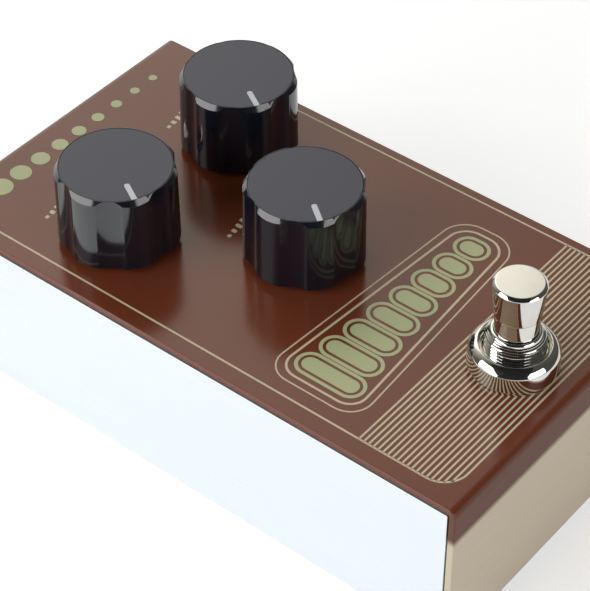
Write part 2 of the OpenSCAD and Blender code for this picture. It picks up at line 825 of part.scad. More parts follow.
// A contact lies along its slot's wall and is bent to a tail at its inner end.
// The upper tail is soldered to the board.
contact_end = jack_slot_end - contact_gap - jack_cavity_end;

module jack_contacts() {
    color("gold") for (sx = [-1, 1], up = [0, 1]) translate([sx * jack_x, 0, 0])
        translate([0, jack_cavity_end, jack_z]) mirror([0, 0, up]) {
            block(-contact_w / 2, contact_w / 2, contact_gap, contact_end,
                jack_slot_h - contact_t, jack_slot_h);
            if (up == 0)
                block(-contact_w / 2, contact_w / 2, contact_gap, contact_gap + contact_t,
                    jack_slot_h - contact_t, jack_h / 2);
        }
}

module jack_nuts() {
    color("gainsboro") for (sx = [-1, 1]) translate([sx * jack_x, rear_y + jack_washer_t, jack_z])
        rotate([-90, 0, 0]) hex_nut(jack_nut_w, jack_bush_r + running, jack_nut_t);
}

module jack_washers() {
    color("gainsboro") for (sx = [-1, 1]) translate([sx * jack_x, rear_y, jack_z])
        rotate([-90, 0, 0]) tube(jack_washer_r, jack_bush_r + running, jack_washer_t);
}

// Power inlet

module power_body() {
    color([0.1, 0.1, 0.11]) difference() {
        union() {
            block(-dc_w / 2, dc_w / 2, rear_in - dc_d, rear_in, board_under - dc_body_h, board_under);
            rear_drill(0, jack_z, rear_y, dc_nose_r, sheet_t);
        }
        rear_drill(0, jack_z, rear_y + overcut, dc_socket_r, rear_y + overcut - dc_socket_end);
        block(-contact_w / 2, contact_w / 2, dc_socket_end, dc_socket_end + jack_slot_w,
            jack_z + dc_socket_r - contact_t, board_under + overcut);
        rear_drill(0, jack_z, dc_socket_end + overcut, dc_root_r + snug, dc_back + 2 * overcut);
    }
}

module power_pin() {
    length = dc_back + dc_pin_l;
    color("silver") translate([0, dc_socket_end - dc_back, jack_z]) rotate([-90, 0, 0])
        rotate_extrude() polygon([
            [0, 0],
            [dc_root_r, 0],
            [dc_root_r, dc_back],
            [dc_pin_r, dc_back],
            [dc_pin_r, length],
            [0, length]
        ]);
}

module power_contact() {
    color("gold") translate([0, dc_socket_end, 0])
        block(-contact_w / 2 + running, contact_w / 2 - running, contact_gap, contact_gap + contact_t,
            jack_z + dc_socket_r + dc_contact_gap, board_under);
}

// Indicator

module lamp_lens() {
    color([0.75, 0.12, 0.1]) at(0, lamp_y, 0) {
        at(0, 0, lamp_foot) cylinder(r = lamp_flange_r, h = bezel_foot - lamp_foot);
        at(0, 0, lamp_foot) cylinder(r = lamp_r, h = lamp_top - lamp_foot);
        intersection() {
            at(0, 0, lamp_top) sphere(r = lamp_r);
            at(0, 0, lamp_top) cylinder(r = lamp_r + overcut, h = lamp_r + overcut);
        }
    }
}

module lamp_bezel() {
    bore = lamp_r + running;
    color("gainsboro") at(0, lamp_y, 0) rotate_extrude() polygon([
        [bore, bezel_foot],
        [bezel_sleeve_r, bezel_foot],
        [bezel_sleeve_r, deck],
        [bezel_r, deck],
        [bezel_r, deck + bezel_h / 3],
        [bezel_r - bezel_h * 2 / 3, deck + bezel_h],
        [bore, deck + bezel_h]
    ]);
}

module lamp_leads() {
    color("silver") for (sx = [-1, 1]) at(sx * lamp_lead_x, lamp_y, board_under - pin_tail)
        cylinder(r = lead_r, h = lamp_foot - board_under + pin_tail, $fn = 24);
}

// Boards and cable

module main_board() {
    color("darkgreen") difference() {
        block(-board_w / 2, board_w / 2, board_front, board_rear, board_under, board_top);
        for (d = DIALS, i = [-1 : 1])
            at(d[0] + i * pot_pin_pitch, d[1] - pot_pin_y, board_under - overcut)
                cylinder(r = lead_r + running, h = board_t + 2 * overcut, $fn = 24);
        for (sx = [-1, 1]) at(sx * lamp_lead_x, lamp_y, board_under - overcut)
            cylinder(r = lead_r + running, h = board_t + 2 * overcut, $fn = 24);
    }
}

module switch_board() {
    color("darkgreen")
        block(-switch_board_w / 2, switch_board_w / 2, switch_board_front, switch_board_rear,
            switch_board_top - board_t, switch_board_top);
}

module ribbon_headers() {
    color([0.1, 0.1, 0.11]) {
        at(0, header_main_y, board_under - header_h)
            block(-header_w / 2, header_w / 2, -header_d / 2, header_d / 2, 0, header_h);
        at(0, header_switch_y, switch_board_top)
            block(-header_w / 2, header_w / 2, -header_d / 2, header_d / 2, 0, header_h);
    }
}

// The cable drops from the main header, runs level to the switch header and drops again
module ribbon_cable() {
    bend_out = ribbon_bend + ribbon_t;
    run = header_main_y - header_switch_y;
    drop = (ribbon_from - ribbon_to) / 2;
    color("slategray") translate([-ribbon_w / 2, header_switch_y, ribbon_mid]) rotate([90, 0, 90])
        linear_extrude(ribbon_w) {
            translate([bend_out - ribbon_t / 2, ribbon_t / 2 - bend_out]) mirror([1, 0])
                quarter_ring(ribbon_bend, bend_out);
            translate([run - bend_out + ribbon_t / 2, bend_out - ribbon_t / 2]) mirror([0, 1])
                quarter_ring(ribbon_bend, bend_out);
            translate([bend_out - ribbon_t / 2, -ribbon_t / 2])
                square([run - 2 * bend_out + ribbon_t, ribbon_t]);
            translate([-ribbon_t / 2, -drop]) square([ribbon_t, drop + ribbon_t / 2 - bend_out]);
            translate([run - ribbon_t / 2, bend_out - ribbon_t / 2])
                square([ribbon_t, drop + ribbon_t / 2 - bend_out]);
        }
}

// Parts under the main board, set out in rows across it

module row(count) {
    for (i = [0 : count - 1]) translate([(i / (count - 1) - 0.5) * row_w, 0, 0]) children();
}

module delay_chips() {
    color([0.12, 0.12, 0.13]) at(0, row_chip_y, board_under - chip_gap - chip_h) row(chip_count)
        block(-chip_l / 2, chip_l / 2, -chip_w / 2, chip_w / 2, 0, chip_h);
}

chip_pin_pitch = 2.54;

module chip_pins() {
    color("silver") at(0, row_chip_y, board_under - chip_gap - chip_h / 2) row(chip_count)
        for (side = [-1, 1], i = [-1.5 : 1.5]) at(i * chip_pin_pitch, side * (chip_w / 2 + lead_r), 0)
            block(-lead_r, lead_r, -lead_r, lead_r, 0, chip_gap + chip_h / 2);
}

module electrolytic_cans() {
    roll = 0.5;
    color("midnightblue") at(0, row_can_y, board_under - can_h) row(can_count)
        rotate_extrude() polygon([
            [0, 0],
            [can_r - roll, 0],
            [can_r, roll],
            [can_r, can_h],
            [0, can_h]
        ]);
}

module film_capacitors() {
    color("firebrick") at(0, row_film_y, board_under - film_h) row(film_count)
        block(-film_t / 2, film_t / 2, -film_w / 2, film_w / 2, 0, film_h);
}

module resistors() {
    color("tan") at(0, row_resistor_y, board_under - resistor_r) row(resistor_count)
        translate([0, -resistor_l / 2, 0]) rotate([-90, 0, 0]) cylinder(r = resistor_r, h = resistor_l);
}

cover();
tray();
rubber_feet();
base_screws();
knob(LEFT);  // knob_left
knob(RIGHT);  // knob_right
knob(FRONT);  // knob_front
cap(LEFT);  // cap_left
cap(RIGHT);  // cap_right
cap(FRONT);  // cap_front
pointer(LEFT);  // pointer_left
pointer(RIGHT);  // pointer_right
pointer(FRONT);  // pointer_front
pot_shaft(LEFT);  // pot_shaft_left
pot_shaft(RIGHT);  // pot_shaft_right
pot_shaft(FRONT);  // pot_shaft_front
pot_base(LEFT);  // pot_base_left
pot_base(RIGHT);  // pot_base_right
pot_base(FRONT);  // pot_base_front
pot_bush(LEFT);  // pot_bush_left
pot_bush(RIGHT);  // pot_bush_right
pot_bush(FRONT);  // pot_bush_front
pot_nuts();
pot_washers();
pot_pins();
switch_plunger();
switch_spring();
switch_bush();
switch_frame();
switch_case();
switch_lugs();
switch_inner_nut();
switch_washer();
switch_dress_nut();
jack_housing(-jack_x);  // jack_housing_in
jack_housing(jack_x);  // jack_housing_out
jack_bush(-jack_x);  // jack_bush_in
jack_bush(jack_x);  // jack_bush_out
jack_contacts();
jack_nuts();
jack_washers();
power_body();
power_pin();
power_contact();
lamp_lens();
lamp_bezel();
lamp_leads();
main_board();
switch_board();
ribbon_cable();
ribbon_headers();
delay_chips();
chip_pins();
electrolytic_cans();
film_capacitors();
resistors();
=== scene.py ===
from math import atan2, cos, pi, radians, sin, sqrt

import bmesh
import bpy
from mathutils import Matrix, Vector


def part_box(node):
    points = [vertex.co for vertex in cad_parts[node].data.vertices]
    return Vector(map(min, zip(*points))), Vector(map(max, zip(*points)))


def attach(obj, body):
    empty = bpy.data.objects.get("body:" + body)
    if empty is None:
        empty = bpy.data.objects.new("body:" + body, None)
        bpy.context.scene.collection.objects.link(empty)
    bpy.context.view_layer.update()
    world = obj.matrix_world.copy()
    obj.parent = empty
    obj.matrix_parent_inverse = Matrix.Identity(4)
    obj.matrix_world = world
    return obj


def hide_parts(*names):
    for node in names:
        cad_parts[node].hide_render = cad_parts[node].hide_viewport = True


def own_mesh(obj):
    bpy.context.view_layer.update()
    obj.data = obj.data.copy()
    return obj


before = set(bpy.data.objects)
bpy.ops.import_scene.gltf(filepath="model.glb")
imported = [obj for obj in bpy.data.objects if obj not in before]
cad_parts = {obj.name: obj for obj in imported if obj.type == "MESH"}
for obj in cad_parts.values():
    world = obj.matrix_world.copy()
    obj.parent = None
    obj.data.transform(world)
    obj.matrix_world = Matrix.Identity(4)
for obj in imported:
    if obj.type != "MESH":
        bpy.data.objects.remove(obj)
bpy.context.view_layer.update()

# Camera: a long lens in front of the pedal's left corner, looking down at the deck.
# It stands where the photograph was taken from, with the horizon level.
MM = 0.001
photo_long_side = 591
focal_length_px = 2250.3
sensor_width = 36
camera_place = (-259.97 * MM, -211.54 * MM, 338.39 * MM)
camera_tilt, camera_turn = radians(90 - 43.0), radians(-51.18)
bpy.ops.object.camera_add(location=camera_place, rotation=(camera_tilt, 0, camera_turn))
camera = bpy.context.object
camera.data.sensor_width = sensor_width
camera.data.lens = focal_length_px * sensor_width / photo_long_side
bpy.context.scene.camera = camera
bpy.context.scene.view_settings.view_transform = "Standard"

# Studio: a pale floor under a dim sky that brightens behind the pedal, with two soft boxes.
# They stand at its left and in front. A black card by the camera, which only reflections show,
# gives the gloss and the plating something dark to mirror.
FLOOR_SIZE = 8.0
FLOOR_GLOW = 0.42
SKY_TINT = Vector((1.0, 0.965, 0.865))
SKY = (
    (0.0, 0.08), (0.60, 0.12), (0.78, 0.35), (0.88, 0.62), (0.895, 0.78),
    (0.906, 1.2), (0.936, 1.55), (0.967, 1.9), (1.0, 1.95),
)


def links_of(tree):
    """A short way to wire two sockets of a node tree."""
    return lambda source, target: tree.links.new(source, target)


def bearing(azimuth, elevation, distance):
    """A point round the pedal; azimuth counts from +X towards +Y."""
    a, e = radians(azimuth), radians(elevation)
    return Vector((cos(a) * cos(e), sin(a) * cos(e), sin(e))) * distance


def soft_box(name, place, width, height, radiance):
    """A rectangular lamp with an even glow that faces the pedal."""
    bpy.ops.object.light_add(type="AREA", location=place)
    lamp = bpy.context.object
    lamp.name = name
    lamp.rotation_mode = "QUATERNION"
    lamp.rotation_quaternion = (-place).to_track_quat("-Z", "Y")
    lamp.data.shape = "RECTANGLE"
    lamp.data.size = width
    lamp.data.size_y = height
    lamp.data.energy = radiance * pi * width * height
    lamp.visible_camera = False


soft_box("left_soft_box", bearing(157, 28, 1.0), width=0.95, height=0.75, radiance=3.6)
soft_box("front_soft_box", bearing(268, 22, 1.0), width=0.7, height=0.55, radiance=2.9)

world = bpy.context.scene.world or bpy.data.worlds.new("sky")
bpy.context.scene.world = world
world.use_nodes = True
sky = world.node_tree
sky.nodes.clear()
wire = links_of(sky)
sky_direction = sky.nodes.new("ShaderNodeTexCoord")
sky_nearness = sky.nodes.new("ShaderNodeVectorMath")
sky_nearness.operation = "DOT_PRODUCT"
sky_nearness.inputs[1].default_value = bearing(60, 32, 1)
sky_ramp = sky.nodes.new("ShaderNodeValToRGB")
sky_light = sky.nodes.new("ShaderNodeBackground")
sky_out = sky.nodes.new("ShaderNodeOutputWorld")
for nearness, _ in SKY[1:-1]:
    sky_ramp.color_ramp.elements.new(nearness)
for stop, (_, grey) in zip(sky_ramp.color_ramp.elements, SKY):
    stop.color = (*(grey * SKY_TINT), 1)
wire(sky_direction.outputs["Generated"], sky_nearness.inputs[0])
wire(sky_nearness.outputs["Value"], sky_ramp.inputs["Fac"])
wire(sky_ramp.outputs["Color"], sky_light.inputs["Color"])
wire(sky_light.outputs["Background"], sky_out.inputs["Surface"])


def grain_group():
    """A noise of a given grain size along each axis, as a colour, a roughness and a height."""
    tree = bpy.data.node_groups.new("grain", "ShaderNodeTree")
    wire = links_of(tree)
    sockets = (
        ("Colour", "INPUT", "NodeSocketColor"),
        ("Other colour", "INPUT", "NodeSocketColor"),
        ("Grains per metre", "INPUT", "NodeSocketVector"),
        ("Least rough", "INPUT", "NodeSocketFloat"),
        ("Most rough", "INPUT", "NodeSocketFloat"),
        ("Colour", "OUTPUT", "NodeSocketColor"),
        ("Roughness", "OUTPUT", "NodeSocketFloat"),
        ("Height", "OUTPUT", "NodeSocketFloat"),
    )
    for name, way, kind in sockets:
        tree.interface.new_socket(name=name, in_out=way, socket_type=kind)
    given = tree.nodes.new("NodeGroupInput")
    made = tree.nodes.new("NodeGroupOutput")
    place = tree.nodes.new("ShaderNodeTexCoord")
    stretch = tree.nodes.new("ShaderNodeVectorMath")
    stretch.operation = "MULTIPLY"
    noise = tree.nodes.new("ShaderNodeTexNoise")
    noise.inputs["Scale"].default_value = 1
    noise.inputs["Detail"].default_value = 4
    even = tree.nodes.new("ShaderNodeMapRange")
    even.inputs["From Min"].default_value = 0.3
    even.inputs["From Max"].default_value = 0.7
    blend = tree.nodes.new("ShaderNodeMix")
    blend.data_type = "RGBA"
    rough = tree.nodes.new("ShaderNodeMapRange")
    wire(place.outputs["Object"], stretch.inputs[0])
    wire(given.outputs["Grains per metre"], stretch.inputs[1])
    wire(stretch.outputs["Vector"], noise.inputs["Vector"])
    wire(noise.outputs["Fac"], even.inputs["Value"])
    wire(even.outputs["Result"], blend.inputs["Factor"])
    wire(given.outputs["Colour"], blend.inputs["A"])
    wire(given.outputs["Other colour"], blend.inputs["B"])
    wire(even.outputs["Result"], rough.inputs["Value"])
    wire(given.outputs["Least rough"], rough.inputs["To Min"])
    wire(given.outputs["Most rough"], rough.inputs["To Max"])
    wire(blend.outputs["Result"], made.inputs["Colour"])
    wire(rough.outputs["Result"], made.inputs["Roughness"])
    wire(even.outputs["Result"], made.inputs["Height"])
    return tree


grain = grain_group()


def grain_node(nodes, colour, other, grain_mm, rough=(0.5, 0.5)):
    """One use of the grain in a material; rough is left out where only the colours are used."""
    node = nodes.new("ShaderNodeGroup")
    node.node_tree = grain
    node.inputs["Colour"].default_value = (*colour, 1)
    node.inputs["Other colour"].default_value = (*other, 1)
    node.inputs["Grains per metre"].default_value = [1 / (size * MM) for size in grain_mm]
    node.inputs["Least rough"].default_value = rough[0]
    node.inputs["Most rough"].default_value = rough[1]
    return node


def finish(name, colour, other, grain_mm, rough, bump_mm=0.0, **sockets):
    """A material whose colour, roughness and relief follow a grain; other sockets are even."""
    material = bpy.data.materials.new(name)
    material.use_nodes = True
    nodes = material.node_tree.nodes
    wire = links_of(material.node_tree)
    shader = nodes["Principled BSDF"]
    surface = grain_node(nodes, colour, other, grain_mm, rough)
    surface.name = "surface"
    wire(surface.outputs["Colour"], shader.inputs["Base Color"])
    wire(surface.outputs["Roughness"], shader.inputs["Roughness"])
    if bump_mm:
        bump = nodes.new("ShaderNodeBump")
        bump.inputs["Distance"].default_value = bump_mm * MM
        wire(surface.outputs["Height"], bump.inputs["Height"])
        wire(bump.outputs["Normal"], shader.inputs["Normal"])
    for socket, value in sockets.items():
        shader.inputs[socket.replace("_", " ")].default_value = value
    return material


def fresh_start():
    """Leaves edit mode and clears the selection."""
    if bpy.context.mode != "OBJECT":
        bpy.ops.object.mode_set(mode="OBJECT")
    bpy.ops.object.select_all(action="DESELECT")


pale_floor = finish(
    "pale_floor",
    colour=(0.88, 0.90, 0.93),
    other=(0.90, 0.92, 0.95),
    grain_mm=(40, 40, 40),
    rough=(0.55, 0.65),
)
floor_nodes = pale_floor.node_tree.nodes
wire = links_of(pale_floor.node_tree)
ray = floor_nodes.new("ShaderNodeLightPath")
seen_or_mirrored = floor_nodes.new("ShaderNodeMath")
seen_in_any_way = floor_nodes.new("ShaderNodeMath")
floor_glow = floor_nodes.new("ShaderNodeMapRange")
floor_glow.inputs["To Max"].default_value = FLOOR_GLOW
wire(ray.outputs["Is Camera Ray"], seen_or_mirrored.inputs[0])
wire(ray.outputs["Is Glossy Ray"], seen_or_mirrored.inputs[1])
wire(seen_or_mirrored.outputs["Value"], seen_in_any_way.inputs[0])
wire(ray.outputs["Is Transmission Ray"], seen_in_any_way.inputs[1])
wire(seen_in_any_way.outputs["Value"], floor_glow.inputs["Value"])
wire(floor_glow.outputs["Result"], floor_nodes["Principled BSDF"].inputs["Emission Strength"])
floor_nodes["Principled BSDF"].inputs["Emission Color"].default_value = (1, 1, 1, 1)
fresh_start()
bpy.ops.mesh.primitive_plane_add(size=FLOOR_SIZE)
floor = bpy.context.object
floor.name = "floor"
floor.data.materials.append(pale_floor)
flag_cloth = finish(
    "flag_cloth",
    colour=(0.006, 0.006, 0.007),
    other=(0.01, 0.01, 0.011),
    grain_mm=(5, 5, 5),
    rough=(0.9, 1.0),
)
card_place, card_width, card_height = bearing(214, 48, 0.8), 1.05, 1.2
fresh_start()
bpy.ops.mesh.primitive_plane_add(size=1)
card = bpy.context.object
card.name = "camera_flag"
card.scale = (card_width, card_height, 1)
card.rotation_mode = "QUATERNION"
card.rotation_quaternion = (-card_place).to_track_quat("Z", "Y")
card.location = card_place
card.visible_camera = card.visible_diffuse = card.visible_shadow = False
card.data.materials.append(flag_cloth)

# Tray: one sheet of plated steel, folded up along both long sides into a channel.
# It is the floor and the two pale side walls, brushed along its length, with countersunk holes.
SHEET = 1.5 * MM
BEND = 1.7 * MM
BEND_STEPS = 8
MERGE = 1e-7  # points nearer than this are one
FACING = 0.9  # least part of a normal along the axis that a face looks along
tray_low, tray_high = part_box("tray")
cover_low, cover_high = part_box("cover")
DECK = cover_high.z


def take(piece):
    """Selects one piece and nothing else."""
    fresh_start()
    bpy.context.view_layer.objects.active = piece
    piece.select_set(True)


def settle(piece):
    """Puts a piece's place, turn and scale into its mesh."""
    take(piece)
    bpy.ops.object.transform_apply(location=True, rotation=True, scale=True)


def edit(piece, kind="FACE"):
    """Goes into edit mode on one piece with all its vertices, edges or faces selected."""
    take(piece)
    bpy.ops.object.mode_set(mode="EDIT")
    bpy.ops.mesh.select_mode(type=kind)
    bpy.ops.mesh.select_all(action="SELECT")


def pick(piece, kind, chosen):
    """In edit mode, selects the faces or edges that a test picks out, and nothing else."""
    bpy.ops.mesh.select_mode(type=kind)
    bpy.ops.mesh.select_all(action="DESELECT")
    mesh = bmesh.from_edit_mesh(piece.data)
    for part in mesh.faces if kind == "FACE" else mesh.edges:
        if chosen(part):
            part.select_set(True)
    bmesh.update_edit_mesh(piece.data)


def near(a, b, reach=1e-5):
    """True where two lengths are the same, to a hundredth of a millimetre if not told otherwise."""
    return abs(a - b) < reach


def edge_along(edge, **places):
    """True where both ends of an edge lie at the given x, y or z."""
    return all(near(getattr(v.co, axis), at) for v in edge.verts for axis, at in places.items())


def block(name, low, high):
    """A cube stretched between two corners, with its place in its mesh."""
    fresh_start()
    low, high = Vector(low), Vector(high)
    bpy.ops.mesh.primitive_cube_add(size=1, location=(low + high) / 2, scale=high - low)
    piece = bpy.context.object
    piece.name = name
    settle(piece)
    return piece


def apply_modifier(piece, kind, **settings):
    """Adds one modifier, sets it up and applies it."""
    take(piece)
    modifier = piece.modifiers.new(kind.lower(), kind)
    for key, value in settings.items():
        setattr(modifier, key, value)
    bpy.ops.object.modifier_apply(modifier=modifier.name)


def carve(piece, tool, operation="DIFFERENCE"):
    """Cuts a piece with a tool, joins it on or keeps what they share; the tool is used up."""
    apply_modifier(piece, "BOOLEAN", object=tool, operation=operation, solver="EXACT")
    bpy.data.objects.remove(tool)


def soften(piece, width, angle=30, segments=2):
    """Rounds the sharp edges and shades the piece smooth between those that stay."""
    apply_modifier(
        piece,
        "BEVEL",
        width=width,
        segments=segments,
        limit_method="ANGLE",
        angle_limit=radians(angle),
        use_clamp_overlap=True,
    )
    smooth(piece, angle)


def smooth(piece, angle=30):
    """Shades a piece smooth, with flat faces kept flat."""
    take(piece)
    bpy.ops.object.shade_smooth_by_angle(angle=radians(angle))
    apply_modifier(piece, "WEIGHTED_NORMAL", keep_sharp=True)


def fold_sheet(piece, open_faces, fold_edges):
    """Opens a box at some faces, rounds its folds and gives the sheet its thickness inwards."""
    edit(piece)
    pick(piece, "FACE", open_faces)
    bpy.ops.mesh.delete(type="FACE")
    pick(piece, "EDGE", fold_edges)
    bpy.ops.mesh.bevel(offset=BEND, segments=BEND_STEPS, affect="EDGES")
    fresh_start()
    apply_modifier(piece, "SOLIDIFY", thickness=SHEET, offset=-1, use_even_offset=True)


def turned(name, profile, steps=96, hollow=False):
    """A piece turned about Z: a circle extruded and scaled to each (radius, height) in turn."""
    fresh_start()
    radius, height = profile[0]
    bpy.ops.mesh.primitive_circle_add(
        vertices=steps,
        radius=radius,
        fill_type="NOTHING" if hollow else "NGON",
        location=(0, 0, height),
    )
    piece = bpy.context.object
    piece.name = name
    edit(piece, "EDGE")
    for next_radius, next_height in [*profile[1:], *(profile[:1] if hollow else [])]:
        rise, grow = next_height - height, next_radius / radius
        bpy.ops.mesh.extrude_edges_move(TRANSFORM_OT_translate={"value": (0, 0, rise)})
        bpy.ops.transform.resize(value=(grow, grow, 1), center_override=(0, 0, next_height))
        radius, height = next_radius, next_height
    if not hollow:
        bpy.ops.mesh.edge_face_add()
    bpy.ops.mesh.select_all(action="SELECT")
    bpy.ops.mesh.remove_doubles(threshold=MERGE)
    bpy.ops.mesh.normals_make_consistent(inside=False)
    settle(piece)
    return piece


def copy_to(piece, name, place, turn=(0, 0, 0)):
    """A copy with its own mesh, turned and then moved, with its place in its mesh."""
    twin = piece.copy()
    twin.data = piece.data.copy()
    twin.name = name
    bpy.context.scene.collection.objects.link(twin)
    twin.rotation_euler = turn
    twin.location = place
    settle(twin)
    return twin


def fit(piece, body, slot, material, *nodes):
    """Gives a piece its finish and its body, and hides the CAD nodes that it stands for."""
    piece.data.materials.clear()
    piece.data.materials.append(material)
    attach(piece, body)
    if nodes:
        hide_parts(*nodes)


def islands(node):
    """Centres of the separate solids in a CAD node, worked out from a merged copy of its mesh."""
    mesh = bmesh.new()
    mesh.from_mesh(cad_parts[node].data)
    bmesh.ops.remove_doubles(mesh, verts=mesh.verts, dist=1e-6)
    left, centres = set(mesh.verts), []
    while left:
        todo, found = [left.pop()], []
        while todo:
            vert = todo.pop()
            found.append(vert.co.copy())
            for edge in vert.link_edges:
                other = edge.other_vert(vert)
                if other in left:
                    left.remove(other)
                    todo.append(other)
        low = Vector(map(min, zip(*found)))
        high = Vector(map(max, zip(*found)))
        centres.append((low + high) / 2)
    mesh.free()
    return sorted(centres, key=lambda c: (round(c.x, 4), round(c.y, 4), round(c.z, 4)))


tray_metal = finish(
    "brushed_tray",
    colour=(0.75, 0.80, 0.84),
    other=(0.79, 0.835, 0.87),
    grain_mm=(0.25, 30, 0.25),
    rough=(0.30, 0.42),
    bump_mm=0.006,
    Metallic=0.9,
)
tray = block("tray_sheet", tray_low, tray_high)
fold_sheet(
    tray,
    lambda face: face.normal.z > FACING or abs(face.normal.y) > FACING,
    lambda edge: edge_along(edge, z=tray_low.z) and near(edge.verts[0].co.x, edge.verts[1].co.x),
)
edit(tray)
pick(
    tray,
    "EDGE",
    lambda edge: edge_along(edge, z=tray_high.z)
    and near(edge.verts[0].co.y, edge.verts[1].co.y)
    and (near(edge.verts[0].co.y, tray_low.y) or near(edge.verts[0].co.y, tray_high.y)),
)
bpy.ops.mesh.bevel(offset=BEND - SHEET, segments=4, affect="EDGES")
soften(tray, width=0.12 * MM)
screw_r, screw_head_r = 1.5 * MM, 3.0 * MM
countersink = turned(
    "countersink",
    [(screw_head_r + SHEET, -SHEET), (screw_r, SHEET), (screw_r, 3 * SHEET)],
    steps=48,
)
for centre in islands("base_screws"):
    carve(tray, copy_to(countersink, "countersink_cut", (centre.x, centre.y, tray_low.z)))
bpy.data.objects.remove(countersink)
fit(tray, "chassis", "tray_metal", tray_metal, "tray")

# Rubber feet: four moulded discs glued under the tray, with rounded lower rims.
# They are matt black rubber with a fine texture, a little dusty.
feet_low, feet_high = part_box("rubber_feet")
foot_r, foot_edge = 6 * MM, 0.6 * MM
rubber = finish(
    "foot_rubber",
    colour=(0.022, 0.022, 0.023),
    other=(0.045, 0.044, 0.043),
    grain_mm=(0.35, 0.35, 0.35),
    rough=(0.7, 0.85),
    bump_mm=0.04,
)


def join(name, pieces):
    """Several pieces made one object."""
    fresh_start()
    for piece in pieces:
        piece.select_set(True)
    bpy.context.view_layer.objects.active = pieces[0]
    bpy.ops.object.join()
    pieces[0].name = name
    return pieces[0]


foot = turned(
    "foot",
    [
        (foot_r - foot_edge, 0),
        (foot_r, foot_edge),
        (foot_r, feet_high.z - feet_low.z),
    ],
)
soften(foot, width=0.3 * MM, segments=3)
feet = [copy_to(foot, "foot_copy", (c.x, c.y, feet_low.z)) for c in islands("rubber_feet")]
bpy.data.objects.remove(foot)
fit(join("rubber_feet_set", feet), "chassis", "rubber", rubber, "rubber_feet")

# Base screws: four countersunk machine screws with a cross recess, driven up through the tray.
# They are zinc-plated steel, and their shanks bite into the lips of the cover.
screws_low, screws_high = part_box("base_screws")
recess_w, recess_l, recess_d = 0.7 * MM, 3.6 * MM, 0.9 * MM
zinc = finish(
    "zinc_plate",
    colour=(0.60, 0.61, 0.62),
    other=(0.70, 0.70, 0.69),
    grain_mm=(0.5, 0.5, 0.5),
    rough=(0.25, 0.4),
    bump_mm=0.01,
    Metallic=1.0,
)
screw = turned(
    "screw",
    [(screw_head_r, 0), (screw_r, SHEET), (screw_r, screws_high.z - screws_low.z)],
    steps=48,
)
for along_x in (True, False):
    half = (recess_l / 2, recess_w / 2) if along_x else (recess_w / 2, recess_l / 2)
    carve(screw, block("recess", (-half[0], -half[1], -recess_d), (half[0], half[1], recess_d)))
soften(screw, width=0.08 * MM)
screws = [copy_to(screw, "screw_copy", (c.x, c.y, screws_low.z)) for c in islands("base_screws")]
bpy.data.objects.remove(screw)
fit(join("base_screw_set", screws), "chassis", "zinc_steel", zinc, "base_screws")

# Boards: the main board hangs under the dials, and a small one sits under the foot switch.
# Both are glass-fibre laminate under a green solder mask, with the weave faintly showing.
board_mask = finish(
    "solder_mask",
    colour=(0.012, 0.11, 0.045),
    other=(0.016, 0.15, 0.06),
    grain_mm=(0.6, 0.6, 0.6),
    rough=(0.3, 0.45),
    bump_mm=0.02,
)


def dress(material, slot, *nodes):
    """Gives CAD nodes that keep their shape a finish of their own."""
    for node in nodes:
        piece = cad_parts[node]
        piece.data.materials.clear()
        piece.data.materials.append(material)


dress(board_mask, "board_green", "main_board", "switch_board")

# Parts on the boards: chips, capacitors, resistors and the flat cable between the boards.
# They are mouldings and dipped parts on tinned leads, soldered through the main board.
black_moulding = finish(
    "black_moulding",
    colour=(0.016, 0.016, 0.017),
    other=(0.028, 0.028, 0.03),
    grain_mm=(0.3, 0.3, 0.3),
    rough=(0.45, 0.6),
    bump_mm=0.015,
)
bright_tin = finish(
    "bright_tin",
    colour=(0.72, 0.73, 0.74),
    other=(0.82, 0.82, 0.81),
    grain_mm=(0.4, 0.4, 0.4),
    rough=(0.2, 0.32),
    Metallic=1.0,
)
can_sleeve = finish(
    "can_sleeve",
    colour=(0.015, 0.02, 0.07),
    other=(0.02, 0.03, 0.10),
    grain_mm=(2, 2, 2),
    rough=(0.25, 0.35),
)
film_dip = finish(
    "film_dip",
    colour=(0.32, 0.03, 0.025),
    other=(0.40, 0.05, 0.04),
    grain_mm=(1, 1, 1),
    rough=(0.2, 0.35),
    bump_mm=0.05,
)
resistor_body = finish(
    "resistor_lacquer",
    colour=(0.50, 0.36, 0.20),
    other=(0.58, 0.43, 0.26),
    grain_mm=(0.8, 0.8, 0.8),
    rough=(0.3, 0.45),
)
cable_sleeve = finish(
    "ribbed_cable",
    colour=(0.24, 0.25, 0.27),
    other=(0.34, 0.35, 0.37),
    grain_mm=(0.6, 40, 40),
    rough=(0.5, 0.6),
    bump_mm=0.1,
)
dress(black_moulding, "black_moulding", "delay_chips", "ribbon_headers")
dress(bright_tin, "bright_plate", "chip_pins", "lamp_leads", "pot_pins", "switch_lugs")
dress(can_sleeve, "can_sleeve", "electrolytic_cans")
dress(film_dip, "film_red", "film_capacitors")
dress(resistor_body, "resistor_tan", "resistors")
dress(cable_sleeve, "cable_grey", "ribbon_cable")

# Potentiometers: three moulded bases with a turned shaft in a threaded bush, bolted to the deck.
# A washer and a hexagon nut clamp each bush, and the knob hides them.
pot_moulding = finish(
    "pot_moulding",
    colour=(0.02, 0.07, 0.28),
    other=(0.03, 0.10, 0.34),
    grain_mm=(0.5, 0.5, 0.5),
    rough=(0.35, 0.5),
    bump_mm=0.02,
)
dials = ("left", "right", "front")
dial_middle = {}
for dial in dials:
    low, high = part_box(f"cap_{dial}")
    dial_middle[dial] = (low + high) / 2
dress(pot_moulding, "pot_blue", *(f"pot_base_{dial}" for dial in dials))
for part in ("bush", "shaft"):
    dress(bright_tin, "bright_plate", *(f"pot_{part}_{dial}" for dial in dials))
dress(zinc, "zinc_steel", "pot_nuts", "pot_washers")

